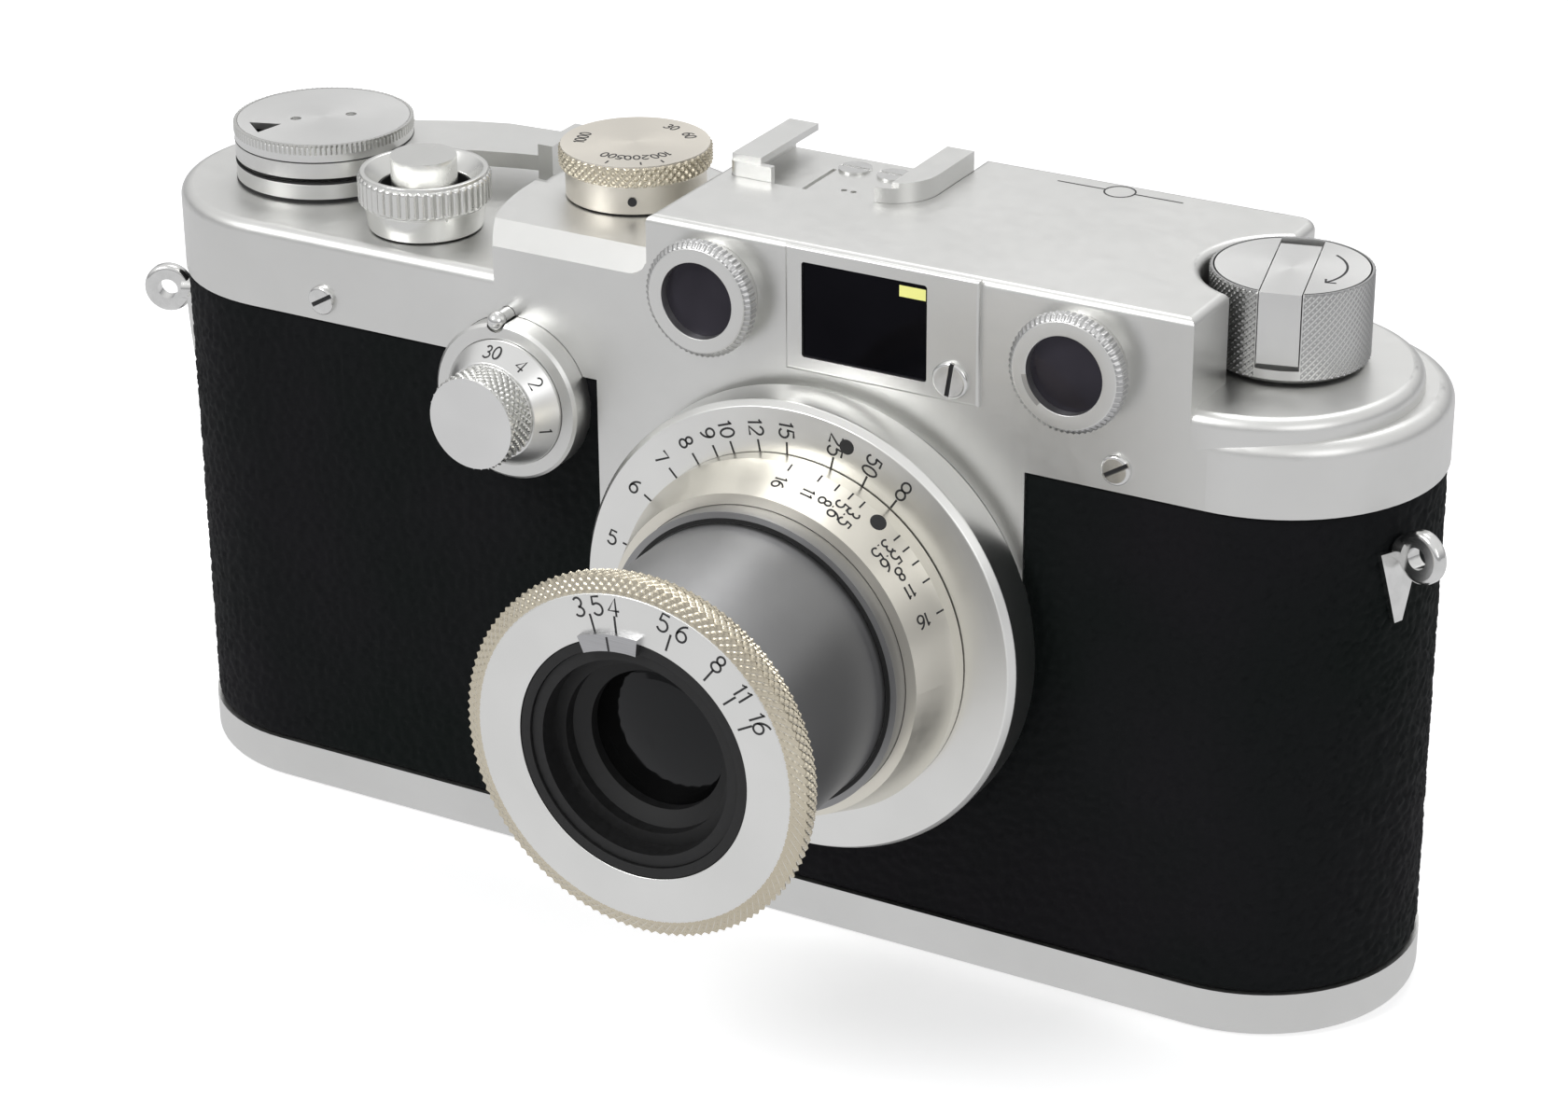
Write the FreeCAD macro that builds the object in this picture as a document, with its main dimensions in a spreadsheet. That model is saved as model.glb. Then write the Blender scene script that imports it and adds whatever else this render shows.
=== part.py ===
import FreeCAD, Part
import math
import os
import Sketcher

# A 35 mm rangefinder camera with a collapsible standard lens.
# X runs along the body with the rewind end at +X, the front faces -Y, and Z is up.
# The origin is the middle of the base plate's underside.  All sizes are millimetres.

DIMENSIONS = {
    # body
    "body_length": 136.0,
    "body_depth": 32.0,
    "base_height": 4.85,
    "base_wall": 1.0,
    "base_edge_round": 1.4,
    "shell_inset": 1.05,
    "shell_wall": 1.2,
    "shell_bottom": 4.95,
    "shell_top": 57.0,
    "leather_inset": 0.25,
    "leather_bottom": 5.0,
    "leather_top": 53.75,
    # top cover
    "cover_bottom": 53.84,
    "cover_wall": 1.0,
    "ledge_top": 61.0,
    "ledge_round": 1.5,
    "deck_top": 62.6,
    "deck_round": 1.2,
    "deck_end": -5.5,
    "housing_end": 50.3,
    "housing_back": 13.0,
    "housing_corner": 2.0,
    "shallow_back": 8.3,
    "deep_start": 15.5,
    "housing_top": 71.7,
    "housing_round": 0.8,
    "knob_recess": 8.4,
    "knob_recess_x": 53.2,
    "knob_recess_y": -0.5,
    "platform_x": 50.8,
    "platform_y": -1.2,
    "platform_radius": 14.8,
    "platform_top": 63.0,
    "pedestal_top": 66.8,
    "pedestal_round": 1.2,
    "pedestal_radius": 10.55,
    "pedestal_x": -16.35,
    "pedestal_y": 0.65,
    "pedestal_sweep": 25.5,
    "slope_start": 12.3,
    "slope_foot": 65.5,
    "slope_corner": 2.0,
    "apron_left": -11.35,
    "apron_right": 34.2,
    "apron_bottom": 31.0,
    "apron_thick": 0.95,
    # finder windows
    "finder_height": 65.4,
    "near_window_x": 1.6,
    "far_window_x": 39.26,
    "bezel_radius": 5.7,
    "bezel_face_radius": 5.1,
    "bezel_rim_front": 18.5,
    "bezel_rim_back": 17.6,
    "bezel_neck": 4.9,
    "bezel_front": 19.0,
    "spigot_radius": 4.4,
    "glass_radius": 3.76,
    "plate_left": 9.6,
    "plate_right": 29.65,
    "plate_bottom": 59.4,
    "plate_front": 16.5,
    "plate_round": 0.35,
    "window_left": 11.4,
    "window_right": 24.35,
    "window_bottom": 60.9,
    "window_top": 70.3,
    "window_corner": 0.3,
    "view_eyepiece_x": 21.0,
    "range_eyepiece_x": 31.5,
    "eyepiece_radius": 4.3,
    "eyepiece_back": 16.4,
    "eyepiece_hole": 2.6,
    "eyepiece_spigot": 3.4,
    "finder_block_top": 69.2,
    "finder_block_front": -8.0,
    "finder_block_back": 6.0,
    "finder_tunnel_left": 10.0,
    "finder_tunnel_right": 26.0,
    "finder_tunnel_bottom": 60.0,
    # screws
    "screw_head": 1.5,
    "screw_head_height": 0.55,
    "screw_shank": 0.7,
    "screw_dome": 0.35,
    "screw_length": 1.9,
    "screw_slot": 0.45,
    "screw_slot_depth": 0.3,
    "near_screw_turn": 30.0,
    "far_screw_turn": 32.0,
    "plate_screw_head": 1.83,
    "plate_screw_turn": 81.0,
    "near_screw_x": -43.1,
    "far_screw_x": 43.35,
    "cover_screw_height": 56.1,
    "plate_screw_x": 26.91,
    "plate_screw_height": 61.68,
    # accessory shoe
    "shoe_left": -4.1,
    "shoe_right": 16.1,
    "shoe_front": -2.9,
    "shoe_back": 9.2,
    "shoe_seat": 70.5,
    "shoe_floor": 70.85,
    "shoe_stop_top": 73.2,
    "shoe_top": 73.7,
    "shoe_wall": 0.7,
    "shoe_lip": 0.7,
    "shoe_gap_left": -0.9,
    "shoe_gap_right": 13.2,
    "shoe_stop_left": 0.6,
    "shoe_stop_right": 11.7,
    "shoe_wide_corner": 4.6,
    "shoe_narrow_corner": 1.0,
    "shoe_slit_x": 2.8,
    "shoe_slit_width": 0.45,
    "shoe_slit_back": 5.4,
    "shoe_hole_x": 7.1,
    "shoe_hole_y": 0.6,
    "shoe_hole_radius": 0.3,
    "shoe_screw_x": 6.9,
    "shoe_screw_y": 6.2,
    "shoe_screw_spread": 2.1,
    "shoe_screw_head": 1.65,
    "shoe_screw_height": 0.25,
    # wind lever and counter
    "wind_x": -53.4,
    "stack_radius": 9.1,
    "wind_ring_top": 64.75,
    "wind_neck": 3.5,
    "lever_bottom": 65.15,
    "lever_top": 66.75,
    "cap_bottom": 66.8,
    "cap_top": 68.65,
    "grip_bottom": 64.3,
    "grip_top": 68.0,
    "grip_inner": 22.8,
    "grip_outer": 24.5,
    "cap_wall": 0.7,
    "counter_radius": 7.9,
    "counter_bore": 3.0,
    "counter_bottom": 67.1,
    "counter_top": 67.7,
    "wind_shaft": 2.0,
    "running_fit": 0.05,
    # winding gears
    "tooth_size": 0.6,
    "gear_thick": 1.0,
    "upper_gear_level": 57.0,
    "lower_gear_level": 54.8,
    "wind_teeth": 24,
    "idler_upper_teeth": 16,
    "idler_lower_teeth": 24,
    "spool_teeth": 16,
    "sprocket_gear_teeth": 15,
    "idler_x": -42.1,
    "idler_y": -4.04,
    "sprocket_x": -34.24,
    "sprocket_y": 4.63,
    "film_drive_bottom": 8.0,
    "film_drive_top": 53.6,
    "sprocket_radius": 5.2,
    "sprocket_rim": 6.05,
    "sprocket_teeth": 8,
    "spool_flange": 11.4,
    "spool_core": 6.5,
    # shutter
    "mechanism_plate": 54.0,
    "mechanism_plate_thick": 0.6,
    "crate_left": -9.4,
    "crate_right": 37.0,
    "crate_front": 11.3,
    "crate_back": 10.5,
    "crate_wall": 1.0,
    "crate_bottom": 7.0,
    "crate_throat": 19.0,
    "gate_width": 36.0,
    "gate_height": 24.0,
    "first_curtain_y": 6.6,
    "second_curtain_y": 7.6,
    "curtain_thick": 0.3,
    "curtain_bottom": 20.0,
    "curtain_top": 51.0,
    "first_curtain_end": 35.5,
    "second_curtain_end": -2.0,
    "pressure_left": -8.0,
    "pressure_right": 35.0,
    "pressure_front": 11.2,
    "pressure_bottom": 18.0,
    "pressure_top": 53.0,
    "drum_x": -16.4,
    "drum_y": 0.3,
    "drum_radius": 5.5,
    "arm_pin_x": -6.6,
    "arm_pin_y": -7.5,
    "arm_pin_radius": 0.8,
    "arm_bottom": 49.7,
    "arm_top": 50.35,
    "arm_half_width": 1.0,
    "arm_eye": 1.8,
    "arm_roller": 2.5,
    "spindle_radius": 1.6,
    "dial_radius": 7.62,
    "dial_skirt_radius": 7.1,
    "dial_bottom": 67.0,
    "dial_step": 69.8,
    "dial_top": 72.0,
    # release
    "release_x": -35.84,
    "release_y": -7.91,
    "collar_radius": 6.65,
    "collar_foot": 5.67,
    "collar_bottom": 62.75,
    "collar_step": 65.2,
    "collar_top": 68.6,
    "collar_hole": 4.53,
    "button_radius": 3.3,
    "button_top": 70.0,
    "button_stem": 1.2,
    "button_flange": 4.3,
    "button_flange_bottom": 65.2,
    "spring_radius": 3.4,
    "spring_bore": 2.2,
    "button_tail": 59.5,
    # slow speeds
    "slow_x": -20.3,
    "slow_height": 50.65,
    "slow_radius": 8.0,
    "slow_base_front": 17.0,
    "slow_rim_front": 18.5,
    "slow_skirt_foot": 18.8,
    "slow_skirt_top": 21.0,
    "slow_knob_radius": 4.88,
    "slow_knob_front": 24.6,
    "slow_shaft": 2.0,
    "slow_shaft_back": 11.5,
    "lock_pin_x": -21.2,
    "lock_pin_height": 58.75,
    "lock_pin_back": 13.4,
    "lock_pin_front": 18.0,
    "lock_pin_stop": 1.4,
    "lock_pin_stem": 0.8,
    "lock_pin_ball": 0.95,
    "slow_disc_radius": 6.44,
    "sync_x": -30.0,
    "sync_height": 57.4,
    "sync_spigot": 2.4,
    "sync_rim": 3.4,
    "sync_bore": 1.75,
    "sync_front": 18.6,
    # rewind
    "rewind_x": 52.8,
    "knob_radius": 7.35,
    "knob_bottom": 63.3,
    "knob_top": 71.9,
    "knob_bore_top": 69.6,
    "crank_width": 3.8,
    "crank_thick": 1.6,
    "crank_foot": 65.1,
    "crank_reach": 7.2,
    "crank_pivot": -5.2,
    "crank_slack": 0.1,
    "crank_angle": -76.0,
    "rewind_shaft": 2.0,
    "fork_bottom": 44.0,
    # lens
    "lens_x": 13.4,
    "lens_height": 35.5,
    "mount_face": 17.3,
    "mount_radius": 22.0,
    "mount_neck": 20.3,
    "mount_back": 12.2,
    "mount_bore": 19.5,
    "thread_radius": 19.45,
    "flange_radius": 22.93,
    "flange_front": 22.0,
    "barrel_back": 11.8,
    "focus_neck": 17.0,
    "focus_radius": 17.97,
    "focus_rim": 23.7,
    "focus_front": 28.3,
    "focus_nose": 16.3,
    "lever_angle": 220.0,
    "focus_lever_reach": 26.0,
    "focus_knob": 3.4,
    "sleeve_radius": 15.2,
    "sleeve_back": 11.6,
    "sleeve_front": 30.1,
    "tube_radius": 14.08,
    "tube_wall": 1.08,
    "tube_back": 13.0,
    "tube_front": 47.6,
    "ring_radius": 17.76,
    "ring_bore": 12.0,
    "ring_back_radius": 15.2,
    "ring_heel": 17.0,
    "ring_heel_front": 48.4,
    "ring_belly": 17.3,
    "ring_belly_front": 49.0,
    "ring_rim": 50.8,
    "ring_face_radius": 15.85,
    "lens_front": 51.3,
    "ring_opening": 11.65,
    "tab_half": 2.7,
    "tab_angle": 99.0,
    "cell_radius": 10.6,
    "filter_radius": 9.5,
    "filter_floor": 48.9,
    "cell_back": 38.0,
    "cell_stop": 42.4,
    "cell_seat": 44.6,
    "cell_step": 8.3,
    "iris_seat": 9.2,
    "iris_hole": 3.6,
    "front_glass": 6.8,
    "rear_glass": 5.55,
    # base fittings
    "tripod_x": -52.0,
    "tripod_radius": 5.4,
    "tripod_thread": 2.6,
    "tripod_depth": 4.2,
    "key_x": 52.0,
    "key_radius": 8.0,
    "key_shaft": 1.9,
    "key_tongue_bottom": 2.5,
    "key_reach": 11.0,
    "lug_height": 49.5,
    "lug_plate": 0.6,
    "lug_wide": 2.7,
    "lug_drop_half": 2.6,
    "lug_tip": 0.5,
    "lug_length": 7.3,
    "lug_wall_bottom": 42.0,
    "lug_wall_top": 52.2,
    "lug_post": 1.2,
    "lug_eye": 2.55,
    "lug_eye_thick": 1.5,
    "lug_round": 0.5,
    "lug_hole": 1.05,
    "lug_reach": 2.9,
    "lug_turn": 22.0,
}

document = FreeCAD.newDocument("rangefinder_camera")
sheet = document.addObject("Spreadsheet::Sheet", "dims")

UPRIGHT = FreeCAD.Rotation()
FORWARD = FreeCAD.Rotation(FreeCAD.Vector(1, 0, 0), 90)
BACKWARD = FreeCAD.Rotation(FreeCAD.Vector(1, 0, 0), -90)
SUBPARTS = []


class Size:
    """A number that carries the sheet expression it comes from."""

    def __init__(self, text, value):
        self.text = text
        self.value = value

    def joined(self, sign, other, value):
        return Size("(%s %s %s)" % (self.text, sign, other.text), value)

    def __add__(self, other):
        other = as_size(other)
        return self.joined("+", other, self.value + other.value)

    def __sub__(self, other):
        other = as_size(other)
        return self.joined("-", other, self.value - other.value)

    def __mul__(self, other):
        other = as_size(other)
        return self.joined("*", other, self.value * other.value)

    def __truediv__(self, other):
        other = as_size(other)
        return self.joined("/", other, self.value / other.value)

    def __radd__(self, other):
        return as_size(other) + self

    def __rsub__(self, other):
        return as_size(other) - self

    def __neg__(self):
        return as_size(0) - self


def as_size(value):
    """Wrap a plain number so that it can be used like a sheet value."""
    if isinstance(value, Size):
        return value
    return Size("%.6g" % value, float(value))


def dim(name):
    """The named driving dimension."""
    return Size("dims." + name, float(DIMENSIONS[name]))


def fill_sheet():
    """Write every driving dimension into its own aliased cell."""
    for row, (name, value) in enumerate(DIMENSIONS.items(), start=1):
        sheet.set("A%d" % row, name)
        sheet.set("B%d" % row, "%.6g" % value)
        sheet.setAlias("B%d" % row, name)
    document.recompute()


# ---------------------------------------------------------------- building blocks

def bind(thing, name, value):
    thing.setExpression(name, as_size(value).text)


def place(thing, x=0, y=0, z=0, rotation=UPRIGHT):
    """Put a piece at x, y, z, turned by a rotation."""
    thing.Placement = FreeCAD.Placement(FreeCAD.Vector(0, 0, 0), rotation)
    for axis, value in zip("xyz", (x, y, z)):
        bind(thing, "Placement.Base." + axis, value)
    return thing


def box(name, x, y, z):
    """A block between the low and high value of each axis."""
    block = document.addObject("Part::Box", name)
    for length, axis, (low, high) in (("Length", "x", x), ("Width", "y", y), ("Height", "z", z)):
        bind(block, length, as_size(high) - low)
        bind(block, "Placement.Base." + axis, low)
    return block


def rod(name, radius, low, high, x=0, y=0):
    """A cylinder along Z."""
    cylinder = document.addObject("Part::Cylinder", name)
    bind(cylinder, "Radius", radius)
    bind(cylinder, "Height", as_size(high) - low)
    return place(cylinder, x, y, low)


def forward_rod(name, radius, back, front, x, z):
    """A cylinder towards the front, between two distances in front of the middle plane."""
    cylinder = document.addObject("Part::Cylinder", name)
    bind(cylinder, "Radius", radius)
    bind(cylinder, "Height", as_size(front) - back)
    return place(cylinder, x, -as_size(back), z, FORWARD)


def fuse(name, *pieces):
    joined = document.addObject("Part::MultiFuse", name)
    joined.Shapes = list(pieces)
    joined.Refine = True
    return joined


def cut(name, base, *tools):
    """Base without the tools."""
    result = document.addObject("Part::Cut", name)
    result.Base = base
    result.Tool = tools[0] if len(tools) == 1 else fuse(name + "_tools", *tools)
    result.Refine = True
    return result


def common(name, first, second):
    result = document.addObject("Part::Common", name)
    result.Base = first
    result.Tool = second
    return result


def rounded(name, base, radius, wanted):
    """Round every edge for which wanted(edge) is true."""
    document.recompute()
    edges = [(number, radius, radius)
             for number, edge in enumerate(base.Shape.Edges, start=1) if wanted(edge)]
    result = document.addObject("Part::Fillet", name)
    result.Base = base
    result.Edges = edges
    return result


def at_height(height):
    """Picks the edges that lie in the plane z = height."""
    def wanted(edge):
        bounds = edge.BoundBox
        return abs(bounds.ZMin - height) < 1e-4 and abs(bounds.ZMax - height) < 1e-4
    return wanted


def upright(edge):
    """Picks the edges along Z."""
    bounds = edge.BoundBox
    return bounds.ZLength > 0.5 and bounds.XLength < 1e-4 and bounds.YLength < 1e-4


def origin_plane(body, role):
    return [feature for feature in body.Origin.OriginFeatures if feature.Role == role][0]


def outline(body, name, role, points):
    """A closed polygon sketch on one of the body's own planes, each corner bound to the sheet."""
    sketch = body.newObject("Sketcher::SketchObject", name)
    sketch.AttachmentSupport = [(origin_plane(body, role), "")]
    sketch.MapMode = "FlatFace"
    corners = [(as_size(a), as_size(b)) for a, b in points]
    places = [FreeCAD.Vector(a.value, b.value, 0) for a, b in corners]
    for number, start in enumerate(places):
        end = places[(number + 1) % len(places)]
        sketch.addGeometry(Part.LineSegment(start, end), False)
    for number in range(len(places)):
        following = (number + 1) % len(places)
        sketch.addConstraint(Sketcher.Constraint("Coincident", number, 2, following, 1))
    for number, corner in enumerate(corners):
        for kind, value in zip(("DistanceX", "DistanceY"), corner):
            rule = Sketcher.Constraint(kind, -1, 1, number, 1, value.value)
            index = sketch.addConstraint(rule)
            bind(sketch, "Constraints[%d]" % index, value)
    return sketch


def turned(name, profile):
    """A solid of revolution about Z from corners (radius, height)."""
    body = document.addObject("PartDesign::Body", name)
    sketch = outline(body, name + "_profile", "XZ_Plane", profile)
    revolution = body.newObject("PartDesign::Revolution", name + "_turn")
    revolution.Profile = sketch
    revolution.ReferenceAxis = (sketch, ["V_Axis"])
    revolution.Angle = 360
    return body


def tube(name, outer, inner, low, high):
    """A plain tube about Z."""
    return turned(name, [(inner, low), (outer, low), (outer, high), (inner, high)])


def prism(name, points, low, high):
    """A polygon in the XY plane raised from low to high."""
    body = document.addObject("PartDesign::Body", name)
    sketch = outline(body, name + "_outline", "XY_Plane", points)
    bind(sketch, "AttachmentOffset.Base.z", low)
    pad = body.newObject("PartDesign::Pad", name + "_pad")
    pad.Profile = sketch
    bind(pad, "Length", as_size(high) - low)
    return body


def racetrack(name, inset, low, high):
    """The body's round-ended outline, set in by inset, raised from low to high."""
    radius = dim("body_depth") / 2 - inset
    centre = dim("body_length") / 2 - dim("body_depth") / 2
    middle = box(name + "_middle", (-centre, centre), (-radius, radius), (low, high))
    ends = [rod(name + "_end%d" % side, radius, low, high, centre * side) for side in (-1, 1)]
    return fuse(name, middle, *ends)


def subpart(thing, label):
    """Register a finished piece under its node name."""
    thing.Label = label
    SUBPARTS.append(thing)
    return thing


def on_lens_axis(thing):
    """Turn a piece made about Z so that its Z points forward along the lens axis."""
    return place(thing, dim("lens_x"), 0, dim("lens_height"), FORWARD)


# ---------------------------------------------------------------- body and base

def screw_at(name, x, z, front, slot_turn, radius):
    """A domed screw on a surface at the given forward distance, its slot turned in degrees."""
    top = front + dim("screw_head_height")
    head = rod(name + "_head", radius, front, top)
    dome = rounded(name + "_dome", head, DIMENSIONS["screw_dome"], at_height(as_size(top).value))
    shank = rod(name + "_shank", dim("screw_shank"), front - dim("screw_length"), front)
    half = dim("screw_slot") / 2
    slot = box(name + "_slot", (-2, 2), (-half, half), (top - dim("screw_slot_depth"), top + 1))
    screw = cut(name, fuse(name + "_blank", dome, shank), slot)
    turn = FreeCAD.Rotation(FreeCAD.Vector(0, 0, 1), slot_turn)
    return place(screw, x, 0, z, FORWARD.multiply(turn))


def front_screw_places():
    return [(dim("near_screw_x"), dim("cover_screw_height")),
            (dim("far_screw_x"), dim("cover_screw_height"))]


def cover_screws():
    wall = dim("body_depth") / 2
    turns = (DIMENSIONS["near_screw_turn"], DIMENSIONS["far_screw_turn"])
    screws = [screw_at("cover_screw%d" % number, x, z, wall, turns[number], dim("screw_head"))
              for number, (x, z) in enumerate(front_screw_places())]
    screws.append(screw_at("plate_screw", dim("plate_screw_x"), dim("plate_screw_height"),
                           dim("plate_front"), DIMENSIONS["plate_screw_turn"],
                           dim("plate_screw_head")))
    return subpart(fuse("cover_screw_set", *screws), "cover_screws")


def screw_holes(tag):
    """The holes through cover and shell for the two front cover screws."""
    return [forward_rod("%s_screw_hole%d" % (tag, number), dim("screw_shank"), 12, 17, x, z)
            for number, (x, z) in enumerate(front_screw_places())]


def body_shell():
    outer = racetrack("shell_outer", dim("shell_inset"), dim("shell_bottom"), dim("shell_top"))
    inner = racetrack("shell_inner", dim("shell_inset") + dim("shell_wall"), 0, 70)
    throat = forward_rod("shell_throat", dim("mount_neck") + 0.05, 10, 20,
                         dim("lens_x"), dim("lens_height"))
    slow_hole = forward_rod("shell_slow_hole", 2.2, 10, 20, dim("slow_x"), dim("slow_height"))
    shell = cut("shell", outer, inner, throat, slow_hole, *screw_holes("shell"))
    return subpart(shell, "body_shell")


def leather_covering():
    outer = racetrack("leather_outer", dim("leather_inset"), dim("leather_bottom"),
                      dim("leather_top"))
    inner = racetrack("leather_inner", dim("shell_inset"), 0, 70)
    apron = box("leather_apron_gap", (dim("apron_left") - 0.05, dim("apron_right") + 0.05),
                (-20, -14.5), (dim("apron_bottom") - 0.05, 60))
    throat = forward_rod("leather_throat", dim("mount_radius") + 0.1, 10, 20,
                         dim("lens_x"), dim("lens_height"))
    slow = forward_rod("leather_slow", dim("slow_radius") + 0.1, 10, 20,
                       dim("slow_x"), dim("slow_height"))
    return subpart(cut("leather", outer, inner, apron, throat, slow), "leather_covering")


def base_plate():
    """A shallow tray with a rounded lower edge, a recess for the key and a tripod bush hole."""
    blank = racetrack("base_blank", 0, 0, dim("base_height"))
    outer = rounded("base_outer", blank, DIMENSIONS["base_edge_round"], at_height(0))
    hollow = racetrack("base_hollow", dim("base_wall"), dim("base_wall"), 10)
    tray = cut("base_tray", outer, hollow)
    boss = rod("key_boss", dim("key_radius") + 1.3, 0.5, 2.4, dim("key_x"))
    recess = rod("key_recess", dim("key_radius") + 0.1, -1, 1.4, dim("key_x"))
    bore = rod("key_bore", dim("key_shaft") + dim("running_fit"), 0, 3, dim("key_x"))
    bush = rod("tripod_hole", dim("tripod_radius"), -1, 2, dim("tripod_x"))
    plate = cut("base", fuse("base_with_boss", tray, boss), recess, bore, bush)
    return subpart(plate, "base_plate")


def base_lock_key():
    """A coin-slot disc under the base with a tongue that hooks inside the body."""
    x = dim("key_x")
    radius = dim("key_radius")
    low = dim("key_tongue_bottom")
    high = low + dim("base_wall")
    disc = rod("key_disc", radius, 0.15, 1.35, x)
    shaft = rod("key_shaft", dim("key_shaft"), 1.3, high, x)
    tongue = box("key_tongue", (x - 2, x + dim("key_reach")), (-2.5, 2.5), (low, high))
    half_slot = radius - 1.5
    groove = box("key_groove", (x - half_slot, x + half_slot), (-0.6, 0.6), (-1, 0.7))
    return subpart(cut("key", fuse("key_blank", disc, shaft, tongue), groove), "base_lock_key")


def tripod_socket():
    bush = turned("tripod_bush", [
        (dim("tripod_thread"), 0), (dim("tripod_radius"), 0), (dim("tripod_radius"), 1),
        (dim("tripod_radius") + 1.2, 1), (dim("tripod_radius") + 1.2, 2),
        (dim("tripod_radius"), 2), (dim("tripod_radius"), dim("tripod_depth") + 0.6),
        (0, dim("tripod_depth") + 0.6), (0, dim("tripod_depth")),
        (dim("tripod_thread"), dim("tripod_depth"))])
    return subpart(place(bush, dim("tripod_x")), "tripod_socket")


def strap_lug(side, label):
    """An eyelet on a drop-shaped plate, on the round end of the body."""
    height = dim("lug_height")
    skin = dim("body_depth") / 2 - dim("leather_inset")
    face = skin + dim("lug_plate")
    outward = FreeCAD.Rotation(FreeCAD.Vector(0, 1, 0), 90)
    wide = dim("lug_wide")
    tip = dim("lug_tip")
    length = dim("lug_length")
    wall = tube(label + "_wall", face, skin, dim("lug_wall_bottom"), dim("lug_wall_top"))
    head = place(rod(label + "_wide", wide, 10, 20), 0, 0, height, outward)
    half_drop = dim("lug_drop_half")
    drop = prism(label + "_drop", [(0, -half_drop), (length, -tip), (length, tip),
                                   (0, half_drop)], 10, 20)
    place(drop, 0, 0, height, outward)
    patch = common(label + "_patch", wall, fuse(label + "_shape", head, drop))
    post = rod(label + "_post", dim("lug_post"), 0, 1.1)
    place(post, skin + 0.3, 0, height, outward)
    half = dim("lug_eye_thick") / 2
    eye = rod(label + "_eye", dim("lug_eye"), -half, half)
    eye = rounded(label + "_eye_soft", eye, DIMENSIONS["lug_round"],
                  lambda edge: edge.BoundBox.XLength > 1)
    ring = cut(label + "_ring", eye, rod(label + "_eye_hole", dim("lug_hole"), -2, 2))
    place(ring, skin + dim("lug_reach"), 0, height, FORWARD)
    lug = fuse(label + "_lug", patch, post, ring)
    centre = (dim("body_length") / 2 - dim("body_depth") / 2) * side
    turn = -DIMENSIONS["lug_turn"] if side > 0 else 180 + DIMENSIONS["lug_turn"]
    place(lug, centre, 0, 0, FreeCAD.Rotation(FreeCAD.Vector(0, 0, 1), turn))
    return subpart(lug, label)


# ---------------------------------------------------------------- top cover

def housing_volume(tag, inset):
    """The tall finder housing, set in by inset, with the hollow that clears the rewind knob."""
    left = dim("deck_end") + inset
    right = dim("housing_end") - inset
    front = -(dim("body_depth") / 2 - inset)
    back = dim("housing_back") - inset
    step = dim("deep_start") + inset
    step_back = dim("shallow_back") - inset
    block = prism(tag + "_block", [(left, front), (right, front), (right, back), (step, back),
                                   (step, step_back), (left, step_back)],
                  58, dim("housing_top") - inset)
    right_end = DIMENSIONS["housing_end"] - 2
    block = rounded(tag + "_soft_block", block, DIMENSIONS["housing_corner"],
                    lambda edge: upright(edge) and edge.BoundBox.XMin > right_end
                    and edge.BoundBox.YMin > 0)
    recess = rod(tag + "_recess", dim("knob_recess") + inset, 50, 80, dim("knob_recess_x"),
                 dim("knob_recess_y"))
    return cut(tag, block, recess)


def pedestal_volume(tag, inset, top):
    """The raised round island below the speed dial."""
    half_depth = dim("body_depth") / 2
    sweep = rod(tag + "_sweep", dim("pedestal_sweep") - inset, 58, top, -1.4, -2)
    front = box(tag + "_front", (-40, dim("deck_end") + 2), (-half_depth + inset, -0.5), (50, 80))
    island = rod(tag + "_island", dim("pedestal_radius") - inset, 58, top,
                 dim("pedestal_x"), dim("pedestal_y"))
    back = box(tag + "_back", (dim("pedestal_x"), dim("deck_end") + 2),
               (-4, dim("shallow_back") - inset), (58, top))
    return fuse(tag, common(tag + "_swept", sweep, front), island, back)


def left_deck_volume(tag, inset, top):
    deck = racetrack(tag + "_deck", inset, dim("cover_bottom") - inset * 2, top)
    side = box(tag + "_side", (-80, dim("deck_end") - inset), (-20, 20), (0, 90))
    return common(tag, deck, side)


def cover_outside():
    """The whole outer form of the top cover, with its rounded edges."""
    ledge = racetrack("ledge", 0, dim("cover_bottom"), dim("ledge_top"))
    ledge = rounded("ledge_soft", ledge, DIMENSIONS["ledge_round"],
                    at_height(DIMENSIONS["ledge_top"]))
    deck = left_deck_volume("deck", as_size(0), dim("deck_top"))
    deck = rounded("deck_soft", deck, DIMENSIONS["deck_round"],
                   lambda edge: at_height(DIMENSIONS["deck_top"])(edge)
                   and edge.BoundBox.XMin < DIMENSIONS["deck_end"] - 1)
    platform = rod("platform", dim("platform_radius"), 58, dim("platform_top"),
                   dim("platform_x"), dim("platform_y"))
    platform = rounded("platform_soft", platform, DIMENSIONS["deck_round"],
                       at_height(DIMENSIONS["platform_top"]))
    housing = housing_volume("housing", as_size(0))
    housing = rounded("housing_soft", housing, DIMENSIONS["housing_round"],
                      at_height(DIMENSIONS["housing_top"]))
    pedestal = pedestal_volume("pedestal", as_size(0), dim("pedestal_top"))
    pedestal = rounded("pedestal_soft", pedestal, DIMENSIONS["pedestal_round"],
                       lambda edge: at_height(DIMENSIONS["pedestal_top"])(edge)
                       and edge.BoundBox.XMin < DIMENSIONS["deck_end"] - 1
                       and edge.BoundBox.YMin > -15.9)
    apron = box("apron", (dim("apron_left"), dim("apron_right")),
                (-dim("body_depth") / 2, -dim("body_depth") / 2 + dim("apron_thick")),
                (dim("apron_bottom"), dim("cover_bottom") + 1))
    return fuse("cover_outside", ledge, deck, platform, housing, pedestal, apron)


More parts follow.
